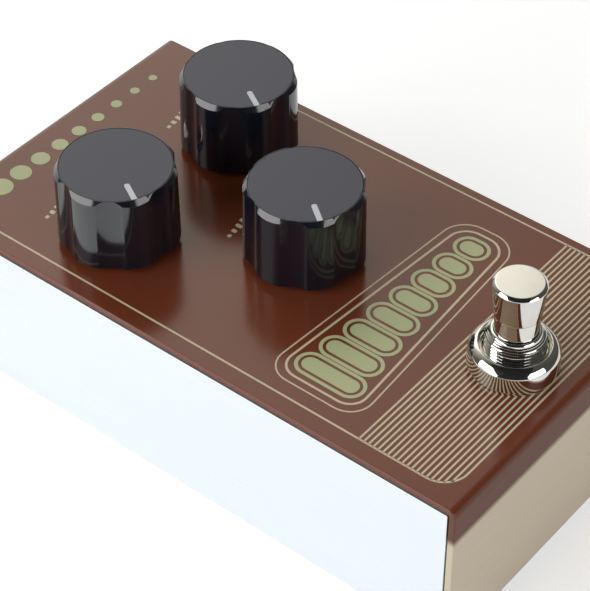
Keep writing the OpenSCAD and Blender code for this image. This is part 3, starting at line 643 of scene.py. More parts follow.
# Foot switch, inside: a moulded case in a bent steel frame, held up by a nut under the deck.
# The plunger stands on a coil spring that closes up as the foot comes down.
spring_low, spring_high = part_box("switch_spring")
spring_r, wire_r, spring_turns, steps_a_turn = 3.7 * MM, 0.35 * MM, 6, 32
switch_blue = finish(
    "switch_case_moulding",
    colour=(0.03, 0.10, 0.22),
    other=(0.04, 0.13, 0.27),
    grain_mm=(0.5, 0.5, 0.5),
    rough=(0.4, 0.55),
    bump_mm=0.02,
)
dress(switch_blue, "pot_blue", "switch_case")
dress(zinc, "zinc_steel", "switch_frame", "switch_inner_nut")
fresh_start()
bpy.ops.mesh.primitive_circle_add(
    vertices=12,
    radius=wire_r,
    location=(spring_r, 0, wire_r),
    rotation=(pi / 2, 0, 0),
)
spring = bpy.context.object
spring.name = "return_spring"
settle(spring)
apply_modifier(
    spring,
    "SCREW",
    angle=2 * pi * spring_turns,
    screw_offset=spring_high.z - spring_low.z - 2 * wire_r,
    steps=steps_a_turn * spring_turns,
    render_steps=steps_a_turn * spring_turns,
    use_merge_vertices=True,
    merge_threshold=MERGE,
)
edit(spring, "EDGE")
bpy.ops.mesh.fill_holes(sides=0)
bpy.ops.mesh.normals_make_consistent(inside=False)
fresh_start()
switch_x = (spring_low.x + spring_high.x) / 2
switch_y = (spring_low.y + spring_high.y) / 2
spring.location = (switch_x, switch_y, spring_low.z)
settle(spring)
smooth(spring, angle=60)
fit(spring, "chassis", "zinc_steel", zinc, "switch_spring")
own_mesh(spring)

# Jacks: two moulded housings, each with a threaded bush through the rear wall.
# A washer and a hexagon nut, both plated brass, clamp each bush from outside.
contact_brass = finish(
    "contact_brass",
    colour=(0.62, 0.44, 0.16),
    other=(0.72, 0.54, 0.24),
    grain_mm=(0.4, 0.4, 0.4),
    rough=(0.22, 0.36),
    Metallic=1.0,
)
nickel = finish(
    "bright_nickel",
    colour=(0.80, 0.79, 0.77),
    other=(0.84, 0.83, 0.81),
    grain_mm=(4, 4, 4),
    rough=(0.03, 0.07),
    Metallic=1.0,
)
dress(black_moulding, "black_moulding", "jack_housing_in", "jack_housing_out", "power_body")
dress(contact_brass, "contact_brass", "jack_contacts", "power_contact")
bush_in_low, bush_in_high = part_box("jack_bush_in")
nuts_low, nuts_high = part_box("jack_nuts")
washers_low, washers_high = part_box("jack_washers")
jack_bore_r, jack_bush_r = 3.2 * MM, 4.5 * MM
jack_thread, jack_thread_d = 0.75 * MM, 0.25 * MM
jack_nut_w = nuts_high.z - nuts_low.z
jack_z = (bush_in_low.z + bush_in_high.z) / 2
jack_length = bush_in_high.y - bush_in_low.y
REARWARDS = (-pi / 2, 0, 0)
THREAD_CREST = (0.4, 0.6)  # where a crest starts and ends, in turns of the thread
NUT_CLEAR, NUT_BEVEL = 1.01, 0.6  # the turned cone's reach past a corner, and its slope


def thread(radius, depth, pitch, low, high):
    """Points of a screw thread's crests and roots, up along a turned piece."""
    turns = int((high - low) / pitch)
    for turn in range(turns):
        yield radius - depth, low + turn * pitch
        for share in THREAD_CREST:
            yield radius, low + (turn + share) * pitch
    yield radius - depth, low + turns * pitch


def hex_nut(name, width, bore_r, height):
    """A hexagon prism with its corners turned off, drilled through."""
    fresh_start()
    corner_r = width / sqrt(3)
    bpy.ops.mesh.primitive_cylinder_add(
        vertices=6,
        radius=corner_r,
        depth=height,
        location=(0, 0, height / 2),
    )
    nut = bpy.context.object
    nut.name = name
    settle(nut)
    clear_r, bevel_h = corner_r * NUT_CLEAR, (corner_r - width / 2) * NUT_BEVEL
    profile = [(width / 2, 0), (clear_r, bevel_h), (clear_r, height - bevel_h), (width / 2, height)]
    carve(nut, turned("turned_off", profile, steps=72), "INTERSECT")
    carve(nut, turned("drill", [(bore_r, -height), (bore_r, 2 * height)], steps=72))
    soften(nut, width=0.1 * MM, angle=25)
    return nut


jack_lip = 0.4 * MM
jack_bush = turned(
    "jack_bush",
    [
        (jack_bore_r, 0),
        (jack_bush_r - jack_thread_d, 0),
        *thread(jack_bush_r, jack_thread_d, jack_thread, jack_lip, jack_length - 2 * jack_lip),
        (jack_bush_r - jack_thread_d, jack_length - jack_lip),
        (jack_bush_r - jack_thread_d - jack_lip, jack_length),
        (jack_bore_r + jack_lip, jack_length),
        (jack_bore_r, jack_length - jack_lip),
    ],
    hollow=True,
)
smooth(jack_bush, angle=25)
jack_nut = hex_nut("jack_nut", jack_nut_w, jack_bush_r - jack_thread_d, nuts_high.y - nuts_low.y)
washer_t = washers_high.y - washers_low.y
washer_r = (washers_high.z - washers_low.z) / 2
jack_washer = turned(
    "jack_washer",
    [(jack_bush_r, 0), (washer_r, 0), (washer_r, washer_t), (jack_bush_r, washer_t)],
    hollow=True,
)
soften(jack_washer, width=0.12 * MM)
jack_x, jack_nut_set, jack_washer_set = {}, [], []
for way in ("in", "out"):
    low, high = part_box(f"jack_bush_{way}")
    x = jack_x[way] = (low.x + high.x) / 2
    threaded = copy_to(jack_bush, f"jack_bush_{way}_threaded", (x, low.y, jack_z), REARWARDS)
    fit(threaded, "chassis", "bright_plate", nickel, f"jack_bush_{way}")
    jack_nut_set.append(copy_to(jack_nut, "nut_copy", (x, nuts_low.y, jack_z), REARWARDS))
    washer_place = (x, washers_low.y, jack_z)
    jack_washer_set.append(copy_to(jack_washer, "washer_copy", washer_place, REARWARDS))
for pattern in (jack_bush, jack_nut, jack_washer):
    bpy.data.objects.remove(pattern)
fit(join("jack_nut_pair", jack_nut_set), "chassis", "bright_plate", nickel, "jack_nuts")
fit(join("jack_washer_pair", jack_washer_set), "chassis", "bright_plate", nickel, "jack_washers")

# Power inlet: a moulded socket between the jacks with a turned centre pin.
# The pin is plated brass with a round nose, pressed into the back of the moulding.
pin_low, pin_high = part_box("power_pin")
pin_r, pin_root_r, pin_root_l = 1.05 * MM, 1.45 * MM, 2.0 * MM
pin_l, pin_nose, pin_nose_step = pin_high.y - pin_low.y, 0.4 * MM, 0.12 * MM


def move_to(piece, name, place, turn=(0, 0, 0)):
    """Turns and moves a piece that was modelled at the origin to where it belongs."""
    moved = copy_to(piece, name, place, turn)
    bpy.data.objects.remove(piece)
    return moved


power_pin = turned(
    "power_pin_turned",
    [
        (pin_root_r, 0),
        (pin_root_r, pin_root_l),
        (pin_r, pin_root_l),
        (pin_r, pin_l - pin_nose),
        (pin_r - pin_nose_step, pin_l - pin_nose_step),
        (pin_r - pin_nose, pin_l),
    ],
    steps=48,
)
smooth(power_pin, angle=50)
power_pin = move_to(power_pin, "power_pin_round", (0, pin_low.y, jack_z), REARWARDS)
fit(power_pin, "chassis", "bright_plate", nickel, "power_pin")

# Cover: one sheet of steel folded down at both ends, so it is the deck, the front and the rear.
# Satin brown enamel covers the deck. On the folds it is matt and a darker brown, which is painted
# shade, and it ends below them on warm bare metal, which is brushed from side to side.
PAINT_REACH = 8.4 * MM
PAINT_FADE = 2.2 * MM
# Below the second edge the enamel is matt, and its brown is darker as painted shade.
GLOSS_AND_SHADE_REACH = 0.6 * MM
GLOSS_AND_SHADE_FADE = 0.7 * MM
lip_depth = 9 * MM
deck_paint = finish(
    "brown_enamel",
    colour=(0.156, 0.038, 0.0155),
    other=(0.168, 0.043, 0.0185),
    grain_mm=(0.5, 0.5, 0.5),
    rough=(0.17, 0.21),
    bump_mm=0.0015,
    Metallic=0.0,
)
paint_nodes = deck_paint.node_tree.nodes
wire = links_of(deck_paint.node_tree)
paint_shader, full_coat = paint_nodes["Principled BSDF"], paint_nodes["surface"]
# A darker brown below the deck's edge: painted shade on the folds and the front and rear bands.
painted_shade_coat = grain_node(
    paint_nodes,
    colour=(0.108, 0.034, 0.016),
    other=(0.118, 0.038, 0.018),
    grain_mm=(0.5, 0.5, 0.5),
)
bare_metal = grain_node(
    paint_nodes,
    colour=(0.61, 0.52, 0.395),
    other=(0.655, 0.56, 0.425),
    grain_mm=(20, 0.3, 0.3),
    rough=(0.55, 0.65),
)
paint_place = paint_nodes.new("ShaderNodeTexCoord")
paint_axes = paint_nodes.new("ShaderNodeSeparateXYZ")
wire(paint_place.outputs["Object"], paint_axes.inputs["Vector"])
# The first edge is where the enamel ends on bare metal; the second, just below the deck, is where
# it turns matt and darkens as painted shade.
paint_edge = paint_nodes.new("ShaderNodeMapRange")
gloss_and_shade_edge = paint_nodes.new("ShaderNodeMapRange")
for edge, reach, fade in (
    (paint_edge, PAINT_REACH, PAINT_FADE),
    (gloss_and_shade_edge, GLOSS_AND_SHADE_REACH, GLOSS_AND_SHADE_FADE),
):
    edge.interpolation_type = "SMOOTHSTEP"
    edge.inputs["From Min"].default_value = DECK - reach - fade / 2
    edge.inputs["From Max"].default_value = DECK - reach + fade / 2
    wire(paint_axes.outputs["Z"], edge.inputs["Value"])
coat_colour = paint_nodes.new("ShaderNodeMix")
shaded_coat_mix = paint_nodes.new("ShaderNodeMix")
coat_colour.data_type = shaded_coat_mix.data_type = "RGBA"
coat_rough = paint_nodes.new("ShaderNodeMix")
# The first mix darkens the enamel below the deck as painted shade; the last makes it matt there.
for edge, mix, below, above in (
    (gloss_and_shade_edge, shaded_coat_mix, painted_shade_coat.outputs["Colour"], full_coat.outputs["Colour"]),
    (paint_edge, coat_colour, bare_metal.outputs["Colour"], shaded_coat_mix.outputs["Result"]),
    (gloss_and_shade_edge, coat_rough, bare_metal.outputs["Roughness"], full_coat.outputs["Roughness"]),
):
    wire(edge.outputs["Result"], mix.inputs["Factor"])
    wire(below, mix.inputs["A"])
    wire(above, mix.inputs["B"])
wire(coat_colour.outputs["Result"], paint_shader.inputs["Base Color"])
wire(coat_rough.outputs["Result"], paint_shader.inputs["Roughness"])

cover = block("cover_sheet", cover_low, cover_high)
fold_sheet(
    cover,
    lambda face: face.normal.z < -FACING or abs(face.normal.x) > FACING,
    lambda edge: edge_along(edge, z=cover_high.z) and near(edge.verts[0].co.y, edge.verts[1].co.y),
)
soften(cover, width=0.3 * MM, segments=3)
lip_half_w = (cover_high.x - cover_low.x) / 2 - SHEET - BEND
lip_z = tray_low.z + SHEET
for wall_y, inwards in ((cover_low.y, 1), (cover_high.y, -1)):
    ends = sorted((wall_y + inwards * SHEET / 2, wall_y + inwards * (SHEET + lip_depth)))
    lip = block("lip", (-lip_half_w, ends[0], lip_z), (lip_half_w, ends[1], lip_z + SHEET))
    carve(cover, lip, "UNION")


def drill(piece, centre, radius, turn=(0, 0, 0)):
    """Drills one round hole through a sheet."""
    bit = turned("bit", [(radius, -2 * SHEET), (radius, 2 * SHEET)], steps=64)
    carve(piece, move_to(bit, "bit_cut", centre, turn))


sheet_mid = DECK - SHEET / 2
rear_mid = cover_high.y - SHEET / 2
hole_gap = 0.1 * MM
pot_bush_r, switch_bush_r = 3.5 * MM, 6 * MM
lamp_sleeve_r, power_nose_r = 3.35 * MM, 4.8 * MM
lamp_low, lamp_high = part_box("lamp_bezel")
lamp_x, lamp_y = (lamp_low.x + lamp_high.x) / 2, (lamp_low.y + lamp_high.y) / 2
for middle in dial_middle.values():
    drill(cover, (middle.x, middle.y, sheet_mid), pot_bush_r + hole_gap)
drill(cover, (switch_x, switch_y, sheet_mid), switch_bush_r + hole_gap)
drill(cover, (lamp_x, lamp_y, sheet_mid), lamp_sleeve_r + hole_gap)
for x in jack_x.values():
    drill(cover, (x, rear_mid, jack_z), jack_bush_r + hole_gap, REARWARDS)
drill(cover, (0, rear_mid, jack_z), power_nose_r + hole_gap, REARWARDS)
for centre in islands("base_screws"):
    drill(cover, (centre.x, centre.y, lip_z + SHEET / 2), screw_r + hole_gap)
smooth(cover)
fit(cover, "chassis", "deck_paint", deck_paint, "cover")

# Deck print: pale inks screened on to the enamel, a border with a striped front and a row of bars.
# The bars shrink from left to right like an echo, inside two outlines. Short ticks stand behind
# each dial, and a row of shrinking dots runs along the rear.
INK = 0.03 * MM
CORNER_GAP = 0.01  # round corners stop this far short of each other
line_w, border_x, border_half = 0.42, 0.8, 34.2
border_front, border_rear, border_r = -64.7, 52.0, 5.6
stripe_w, stripe_count, stripe_start = 0.40, 19, -44.0
cream_ink = finish(
    "cream_ink",
    colour=(0.60, 0.53, 0.36),
    other=(0.66, 0.58, 0.40),
    grain_mm=(0.4, 0.4, 0.4),
    rough=(0.3, 0.4),
)
sage_ink = finish(
    "sage_ink",
    colour=(0.46, 0.50, 0.27),
    other=(0.51, 0.55, 0.30),
    grain_mm=(0.4, 0.4, 0.4),
    rough=(0.3, 0.4),
)


def ink_plate(name, corners, radius=0, rounded=lambda place: True):
    """A flat sheet on the deck with its corners in millimetres, some or all of them rounded."""
    fresh_start()
    bpy.ops.mesh.primitive_plane_add(size=1)
    sheet = bpy.context.object
    sheet.name = name
    for vert, corner in zip(sheet.data.vertices, (0, 1, 3, 2)):
        vert.co = (corners[corner][0] * MM, corners[corner][1] * MM, DECK)
    if radius:
        edit(sheet, "VERT")
        bpy.ops.mesh.select_all(action="DESELECT")
        mesh = bmesh.from_edit_mesh(sheet.data)
        for vert in mesh.verts:
            vert.select_set(rounded(vert.co))
        mesh.select_flush(True)
        bmesh.update_edit_mesh(sheet.data)
        bpy.ops.mesh.bevel(offset=radius * MM, segments=10, affect="VERTICES")
        fresh_start()
    return sheet


def outline_only(sheet, width, open_side=None):
    """Keeps a line of the given width along the rim of a flat sheet, open on one side if asked."""
    edit(sheet)
    bpy.ops.mesh.inset(thickness=width * MM, use_even_offset=True)
    bpy.ops.mesh.delete(type="FACE")
    if open_side:
        pick(sheet, "FACE", open_side)
        bpy.ops.mesh.delete(type="FACE")
    fresh_start()


def raise_ink(sheet):
    """Gives flat print its thickness, up from the enamel."""
    edit(sheet)
    bpy.ops.mesh.normals_make_consistent(inside=False)
    bpy.ops.mesh.extrude_region_move(TRANSFORM_OT_translate={"value": (0, 0, INK)})
    bpy.ops.mesh.select_all(action="SELECT")
    bpy.ops.mesh.normals_make_consistent(inside=False)
    fresh_start()


def rectangle(x, y, half_w, half_h):
    """Corners of a rectangle about a point, counter-clockwise from the front left."""
    left, right, front, rear = x - half_w, x + half_w, y - half_h, y + half_h
    return [(left, front), (right, front), (right, rear), (left, rear)]


border_mid = (border_front + border_rear) / 2
border = ink_plate(
    "border_line",
    rectangle(border_x, border_mid, border_half, border_rear - border_mid),
    border_r,
    lambda place: place.y < border_mid * MM,
)
outline_only(border, line_w, lambda face: face.calc_center_median().y > (border_rear - line_w) * MM)
stripes = []
stripe_pitch = (stripe_start - border_front - line_w / 2) / stripe_count
for row in range(stripe_count):
    y = stripe_start - row * stripe_pitch
    into_corner = max(0, border_front + border_r - y)
    half_w = border_half - border_r + sqrt(border_r**2 - into_corner**2) - line_w / 2
    stripes.append(ink_plate("stripe", rectangle(border_x, y, half_w, stripe_w / 2)))
lines = join("border_and_stripes", [border, *stripes])
raise_ink(lines)
foot_washer_low, foot_washer_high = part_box("switch_washer")
foot_washer_r = (foot_washer_high.x - foot_washer_low.x) / 2
washer_lap = 0.5 * MM
drill(lines, (switch_x, switch_y, DECK), foot_washer_r - washer_lap)
fit(lines, "chassis", "pointer_white", cream_ink)

bar_count, bar_pitch, bar_w, bar_tall, bar_fade = 8, 6.5, 3.5, 13.0, 0.875
bar_left, bar_y, bar_gap, bar_ring = -23.5, -29.8, 0.65, 0.75
bars, rings, ring_grow = [], [], bar_gap + bar_ring
for bar in range(bar_count):
    x, half_w, half_h = bar_left + bar * bar_pitch, bar_w / 2, bar_tall * bar_fade**bar / 2
    bars.append(ink_plate("bar", rectangle(x, bar_y, half_w, half_h), half_w - CORNER_GAP))
    around = rectangle(x, bar_y, half_w + ring_grow, half_h + ring_grow)
    ring = ink_plate("ring", around, half_w + ring_grow - CORNER_GAP)
    outline_only(ring, bar_ring)
    rings.append(ring)
echo_bars = join("echo_bars", bars + rings)
raise_ink(echo_bars)
fit(echo_bars, "chassis", "pointer_white", sage_ink)

outlines = []
bar_right = bar_left + (bar_count - 1) * bar_pitch
bar_short = bar_tall * bar_fade ** (bar_count - 1)
contour_lines, contour_r, contour_r_grow = ((3.0, 0.5), (4.7, 0.32)), 2.2, 0.7
for grow, width in contour_lines:
    left, right = bar_left - bar_w / 2 - grow, bar_right + bar_w / 2 + grow
    tall, short = bar_tall / 2 + grow, bar_short / 2 + grow
    front_corners = [(left, bar_y - tall), (right, bar_y - short)]
    rear_corners = [(right, bar_y + short), (left, bar_y + tall)]
    radius = contour_r + grow * contour_r_grow
    contour = ink_plate("contour", front_corners + rear_corners, radius)
    outline_only(contour, width)
    outlines.append(contour)
ticks = []
tick_count, tick_pitch, tick_behind = 7, 1.75, 14.8
tick_w, tick_tall, tick_r = 0.95, 3.2, 0.3
for middle in dial_middle.values():
    for tick in range(tick_count):
        x = middle.x / MM + (tick - (tick_count - 1) / 2) * tick_pitch
        half_h = tick_tall * (tick + 2) / (tick_count + 1) / 2
        y = middle.y / MM + tick_behind + half_h
        ticks.append(ink_plate("tick", rectangle(x, y, tick_w / 2, half_h), tick_r))
marks = join("outlines_and_ticks", outlines + ticks)
raise_ink(marks)
fit(marks, "chassis", "pointer_white", cream_ink)

dots = []
dot_count, dot_left, dot_right, dot_y, dot_big, dot_fade = 9, -23.0, 24.0, 56.5, 2.6, 0.88
for dot in range(dot_count):
    x = dot_left + (dot_right - dot_left) * dot / (dot_count - 1)
    half = dot_big * dot_fade**dot
    dots.append(ink_plate("dot", rectangle(x, dot_y, half, half), half - CORNER_GAP))
echo_dots = join("echo_dots", dots)
raise_ink(echo_dots)
fit(echo_dots, "chassis", "pointer_white", sage_ink)

# Lamp: a red moulded diode with a domed nose, held in the deck by a plated bezel.
# The bezel is turned with a rounded flange that sits on the enamel.
lens_low, lens_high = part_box("lamp_lens")
lens_r, lens_flange_r, lens_tip_r = 2.5 * MM, (lens_high.x - lens_low.x) / 2, 0.02 * MM
bezel_r, lamp_gap = (lamp_high.x - lamp_low.x) / 2, 0.05 * MM
lens_red = finish(
    "red_lens",
    colour=(0.55, 0.02, 0.012),
    other=(0.62, 0.03, 0.018),
    grain_mm=(1.5, 1.5, 1.5),
    rough=(0.08, 0.14),
    Transmission_Weight=0.35,
    IOR=1.5,
)


def arc(out, up, radius, first, last, steps=12):
    """Points of a turned profile along an arc about a centre, between two angles from the level."""
    turns = [first + (last - first) * step / steps for step in range(steps + 1)]
    return [(out + radius * cos(turn), up + radius * sin(turn)) for turn in turns]


lens = turned(
    "lens",
    [
        (lens_flange_r, lens_low.z),
        (lens_flange_r, lamp_low.z),
        (lens_r, lamp_low.z),
        *arc(0, lens_high.z - lens_r, lens_r, 0, pi / 2, steps=10)[:-1],
        (lens_tip_r, lens_high.z),
    ],
    steps=48,
)
smooth(lens, angle=40)
lens = move_to(lens, "lamp_lens_dome", (lamp_x, lamp_y, 0))
fit(lens, "chassis", "lamp_red", lens_red, "lamp_lens")
bezel_bore, sleeve_r = lens_r + lamp_gap, lamp_sleeve_r - lamp_gap
flange_edge = (lamp_high.z - DECK) / 3
bezel = turned(
    "bezel",
    [
        (bezel_bore, lamp_low.z),
        (sleeve_r, lamp_low.z),
        (sleeve_r, DECK),
        (bezel_r, DECK),
        (bezel_r, DECK + flange_edge),
        (bezel_r - 2 * flange_edge, lamp_high.z),
        (bezel_bore, lamp_high.z),
    ],
    hollow=True,
)
soften(bezel, width=0.15 * MM, segments=3)
bezel = move_to(bezel, "lamp_bezel_ring", (lamp_x, lamp_y, 0))
fit(bezel, "chassis", "bright_plate", nickel, "lamp_bezel")

# Dials: black gloss knobs with seven shallow flutes, pushed on to the shafts of the potentiometers.
# A satin disc sits in the top of each knob, with a pale pointer bar laid into its rim.
knob_low, knob_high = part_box("knob_front")
cap_low, cap_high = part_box("cap_front")
knob_r, knob_draft, knob_chamfer_w, knob_chamfer_h = 12.2 * MM, 0.2 * MM, 0.8 * MM, 1.1 * MM
flutes, steps_each, lobe_r, flute_floor = 7, 24, 8.0 * MM, 11.32 * MM
flute_turn = 2 * pi / flutes
step_turn = flute_turn / steps_each
recess_r, recess_top, shaft_r, shaft_end = 7.27 * MM, 45 * MM, 3.02 * MM, 55.5 * MM
cap_gap = 0.05 * MM
cap_r = (cap_high.x - cap_low.x) / 2 - cap_gap
pointer_w, pointer_l, pointer_t = 1.2 * MM, 5 * MM, 0.5 * MM
pointer_end = 0.98  # how much of its half width the inner end is rounded by
rest_turn = {"left": 240.7, "right": 239.1, "front": 233.0}
knob_plastic = finish(
    "gloss_black",
    colour=(0.005, 0.0070, 0.0120),
    other=(0.007, 0.0088, 0.0150),
    grain_mm=(0.6, 0.6, 0.6),
    rough=(0.10, 0.14),
    bump_mm=0.001,
    IOR=1.72,
)
disc_satin = finish(
    "satin_disc",
    colour=(0.038, 0.042, 0.070),
    other=(0.047, 0.051, 0.082),
    grain_mm=(0.12, 0.12, 0.12),
    rough=(0.34, 0.42),
    bump_mm=0.003,
)
pointer_paint = finish(
    "pointer_paint",
    colour=(0.58, 0.61, 0.68),
    other=(0.64, 0.67, 0.74),
    grain_mm=(0.4, 0.4, 0.4),
    rough=(0.3, 0.4),
)
side_top = knob_high.z - knob_chamfer_h
blank_r = knob_r + knob_chamfer_w
knob = turned(
    "knob",
    [
        (shaft_r, shaft_end),
        (shaft_r, recess_top),
        (recess_r, recess_top),
        (recess_r, knob_low.z),
        (blank_r, knob_low.z),
        (blank_r, side_top - knob_chamfer_h),
        (knob_r - knob_chamfer_w, knob_high.z),
        (cap_r + cap_gap, knob_high.z),
        (cap_r + cap_gap, cap_low.z),
    ],
    steps=steps_each * flutes,
)


def land_radius(turn):
    """Radius of a knob's rounded land at an angle from the land's middle."""
    lobe_out = knob_r - lobe_r
    return lobe_out * cos(turn) + sqrt(lobe_r**2 - (lobe_out * sin(turn)) ** 2)


def knob_radius(turn):
    """Radius of a knob at an angle from a land's middle, on the land or in the hollow beside it."""
    half_land = flute_turn / 4
    if turn <= half_land:
        return land_radius(turn)
    half_chord = land_radius(half_land) * sin(half_land)
    sag = land_radius(half_land) * cos(half_land) - flute_floor
    hollow_r = (sag**2 + half_chord**2) / (2 * sag)
    hollow_out, aside = flute_floor + hollow_r, flute_turn / 2 - turn
    return hollow_out * cos(aside) - sqrt(hollow_r**2 - (hollow_out * sin(aside)) ** 2)


fresh_start()
bpy.ops.mesh.primitive_circle_add(
    vertices=steps_each * flutes,
    radius=knob_r,
    fill_type="NGON",
    location=(0, 0, knob_low.z - SHEET),
)
fluted = bpy.context.object
edit(fluted, "VERT")
for step in range(steps_each // 2 + 1):
    bpy.ops.mesh.select_all(action="DESELECT")
    mesh = bmesh.from_edit_mesh(fluted.data)
    for vert in mesh.verts:
        turn = atan2(vert.co.y, vert.co.x) % flute_turn
        vert.select_set(near(min(turn, flute_turn - turn), step * step_turn, step_turn / 4))
    bmesh.update_edit_mesh(fluted.data)
    grow = knob_radius(step * step_turn) / knob_r
    bpy.ops.transform.resize(value=(grow, grow, 1), center_override=(0, 0, 0))
bpy.ops.mesh.select_all(action="SELECT")
taper = knob_draft / (side_top - knob_low.z) / knob_r
grow = 1 + taper * (side_top - knob_low.z + SHEET)
bpy.ops.transform.resize(value=(grow, grow, 1), center_override=(0, 0, 0))
fluted_h = knob_high.z - knob_low.z + 2 * SHEET
bpy.ops.mesh.extrude_region_move(TRANSFORM_OT_translate={"value": (0, 0, fluted_h)})
shrink = (grow - taper * fluted_h) / grow
bpy.ops.transform.resize(value=(shrink, shrink, 1), center_override=(0, 0, 0))
bpy.ops.mesh.select_all(action="SELECT")
bpy.ops.mesh.normals_make_consistent(inside=False)
settle(fluted)
carve(knob, fluted, "INTERSECT")
soften(knob, width=0.1 * MM, angle=18)


def pointer_bar(name, grow, low, high):
    """A bar from the rim of the disc inwards, with a round inner end."""
    half, inner = pointer_w / 2 + grow, cap_r - pointer_l - grow
    bar = block(name, (inner, -half, low), (cap_r + pointer_w, half, high))
    edit(bar)
    pick(
        bar,
        "EDGE",
        lambda edge: edge_along(edge, x=inner) and near(edge.verts[0].co.y, edge.verts[1].co.y),
    )
    bpy.ops.mesh.bevel(offset=half * pointer_end, segments=10, affect="EDGES")
    fresh_start()
    return bar


cap = turned("cap", [(cap_r, cap_low.z), (cap_r, cap_high.z)], steps=144)
soften(cap, width=0.18 * MM, segments=3)
carve(cap, pointer_bar("slot", cap_gap / 2, cap_high.z - pointer_t, cap_high.z + pointer_t))
smooth(cap)
pointer = pointer_bar("pointer", 0, cap_high.z - pointer_t, cap_high.z)
rim = turned("rim", [(cap_r, cap_low.z), (cap_r, cap_high.z + pointer_t)], steps=144)
carve(pointer, rim, "INTERSECT")
soften(pointer, width=0.08 * MM)
for dial, middle in dial_middle.items():
    place, turn = (middle.x, middle.y, 0), (0, 0, radians(rest_turn[dial]))
    for pattern, name, slot, material, node in (
        (knob, "fluted_knob", "knob_plastic", knob_plastic, "knob"),
        (cap, "disc", "cap_satin", disc_satin, "cap"),
        (pointer, "pointer_bar", "pointer_white", pointer_paint, "pointer"),
    ):
        piece = copy_to(pattern, f"{name}_{dial}", place, turn)
        fit(piece, f"dial_{dial}", slot, material, f"{node}_{dial}")
for pattern in (knob, cap, pointer):
    bpy.data.objects.remove(pattern)

# Foot switch, outside: a threaded bush through the deck, clamped by a washer and a domed dress nut.
# The plunger's turned head stands on a neck that slides in the bush. All four are plated brass.
chrome = finish(
    "bright_chrome",
    colour=(0.66, 0.65, 0.615),
    other=(0.70, 0.69, 0.655),
    grain_mm=(3, 3, 3),
    rough=(0.03, 0.06),
    Metallic=1.0,
)
plunger_low, plunger_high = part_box("switch_plunger")
bush_low, bush_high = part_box("switch_bush")
dress_low, dress_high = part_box("switch_dress_nut")
head_r, head_foot_r, head_chamfer = 5.2 * MM, 4.6 * MM, 0.6 * MM
head_foot, neck_foot, shoulder = 53.8 * MM, 49.5 * MM, 0.2 * MM
neck_r, stem_r = 4.3 * MM, 3.4 * MM
nose_r, nose_l, collar_r, collar_h = 2.95 * MM, 3.0 * MM, 4.45 * MM, 1.2 * MM
plunger = turned(
    "plunger",
    [
        (nose_r, plunger_low.z),
        (nose_r, plunger_low.z + nose_l),
        (collar_r, plunger_low.z + nose_l),
        (collar_r, plunger_low.z + nose_l + collar_h),
        (stem_r, plunger_low.z + nose_l + collar_h),
        (stem_r, neck_foot),
        (neck_r, neck_foot),
        (neck_r, head_foot),
        (head_foot_r, head_foot + shoulder),
        (head_r, plunger_high.z - head_chamfer),
        (head_r - head_chamfer, plunger_high.z),
    ],
)
soften(plunger, width=0.15 * MM, angle=15, segments=3)
plunger = move_to(plunger, "plunger_turned", (switch_x, switch_y, 0))
fit(plunger, "plunger", "bright_plate", chrome, "switch_plunger")

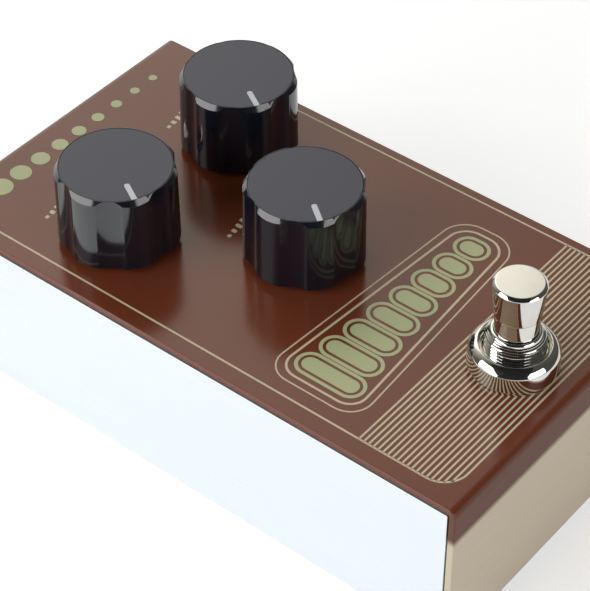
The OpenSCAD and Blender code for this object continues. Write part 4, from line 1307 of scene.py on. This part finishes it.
bush_r, bush_pitch, bush_thread_d, bush_collar = 6 * MM, 0.75 * MM, 0.36 * MM, 0.7 * MM
start_radii, start_pitch, start_groove = (5.85, 5.6, 5.3), 0.4 * MM, 0.14 * MM
start_ring = ((0, 0.1), (0, 0.5), (start_groove, 0.75))  # depth, and height in pitches
bush_bore, well_r, well_foot, lip_r = 3.45 * MM, 4.37 * MM, 45.6 * MM, 4.45 * MM
bush_collar_r, bush_collar_steps = 5.05 * MM, 6
bush_collar_turns = [step * pi / 2 / bush_collar_steps for step in range(bush_collar_steps + 1)]
thread_end = bush_high.z - bush_collar - len(start_radii) * start_pitch
bush = turned(
    "bush",
    [
        (bush_bore, bush_low.z),
        (bush_r, bush_low.z),
        *thread(bush_r, bush_thread_d, bush_pitch, bush_low.z + SHEET, thread_end),
        *(
            (radius * MM - cut, thread_end + (count + rise) * start_pitch)
            for count, radius in enumerate(start_radii)
            for cut, rise in start_ring
        ),
        *(
            (
                lip_r + (bush_collar_r - lip_r) * cos(turn),
                bush_high.z - bush_collar * (1 - sin(turn)),
            )
            for turn in bush_collar_turns
        ),
        (well_r, bush_high.z - lip_r + well_r),
        (well_r, well_foot),
        (bush_bore, well_foot),
    ],
    hollow=True,
)
smooth(bush, angle=25)
bush = move_to(bush, "switch_bush_threaded", (switch_x, switch_y, 0))
fit(bush, "chassis", "bright_plate", chrome, "switch_bush")

dress_r, dress_bevel, dress_bore, dress_mouth = 8.9 * MM, 0.3 * MM, 6.05 * MM, 0.9 * MM
wall_top_r, rim_r, rim_round = 8.8 * MM, 7.1 * MM, 0.15 * MM
shoulder_low, shoulder_high, rim_end = radians(22), radians(66), radians(135)
shoulder_out = rim_r + rim_round * cos(shoulder_high)
shoulder_top = dress_high.z - rim_round * (1 - sin(shoulder_high))
shoulder_r = (wall_top_r - shoulder_out) / (cos(shoulder_low) - cos(shoulder_high))
dress_nut = turned(
    "dress_nut",
    [
        (dress_bore, dress_low.z),
        (dress_r - dress_bevel, dress_low.z),
        (dress_r, dress_low.z + dress_bevel),
        *arc(
            shoulder_out - shoulder_r * cos(shoulder_high),
            shoulder_top - shoulder_r * sin(shoulder_high),
            shoulder_r,
            shoulder_low,
            shoulder_high,
        ),
        *arc(rim_r, dress_high.z - rim_round, rim_round, shoulder_high, rim_end)[1:],
        (dress_bore, dress_high.z - dress_mouth),
    ],
    steps=144,
    hollow=True,
)
smooth(dress_nut)
dress_nut = move_to(dress_nut, "dress_nut_domed", (switch_x, switch_y, 0))
fit(dress_nut, "chassis", "bright_plate", chrome, "switch_dress_nut")

washer = turned(
    "washer",
    [
        (dress_bore, foot_washer_low.z),
        (foot_washer_r, foot_washer_low.z),
        (foot_washer_r, foot_washer_high.z),
        (dress_bore, foot_washer_high.z),
    ],
    hollow=True,
)
soften(washer, width=0.2 * MM, segments=3)
washer = move_to(washer, "switch_washer_ring", (switch_x, switch_y, 0))
fit(washer, "chassis", "bright_plate", chrome, "switch_washer")
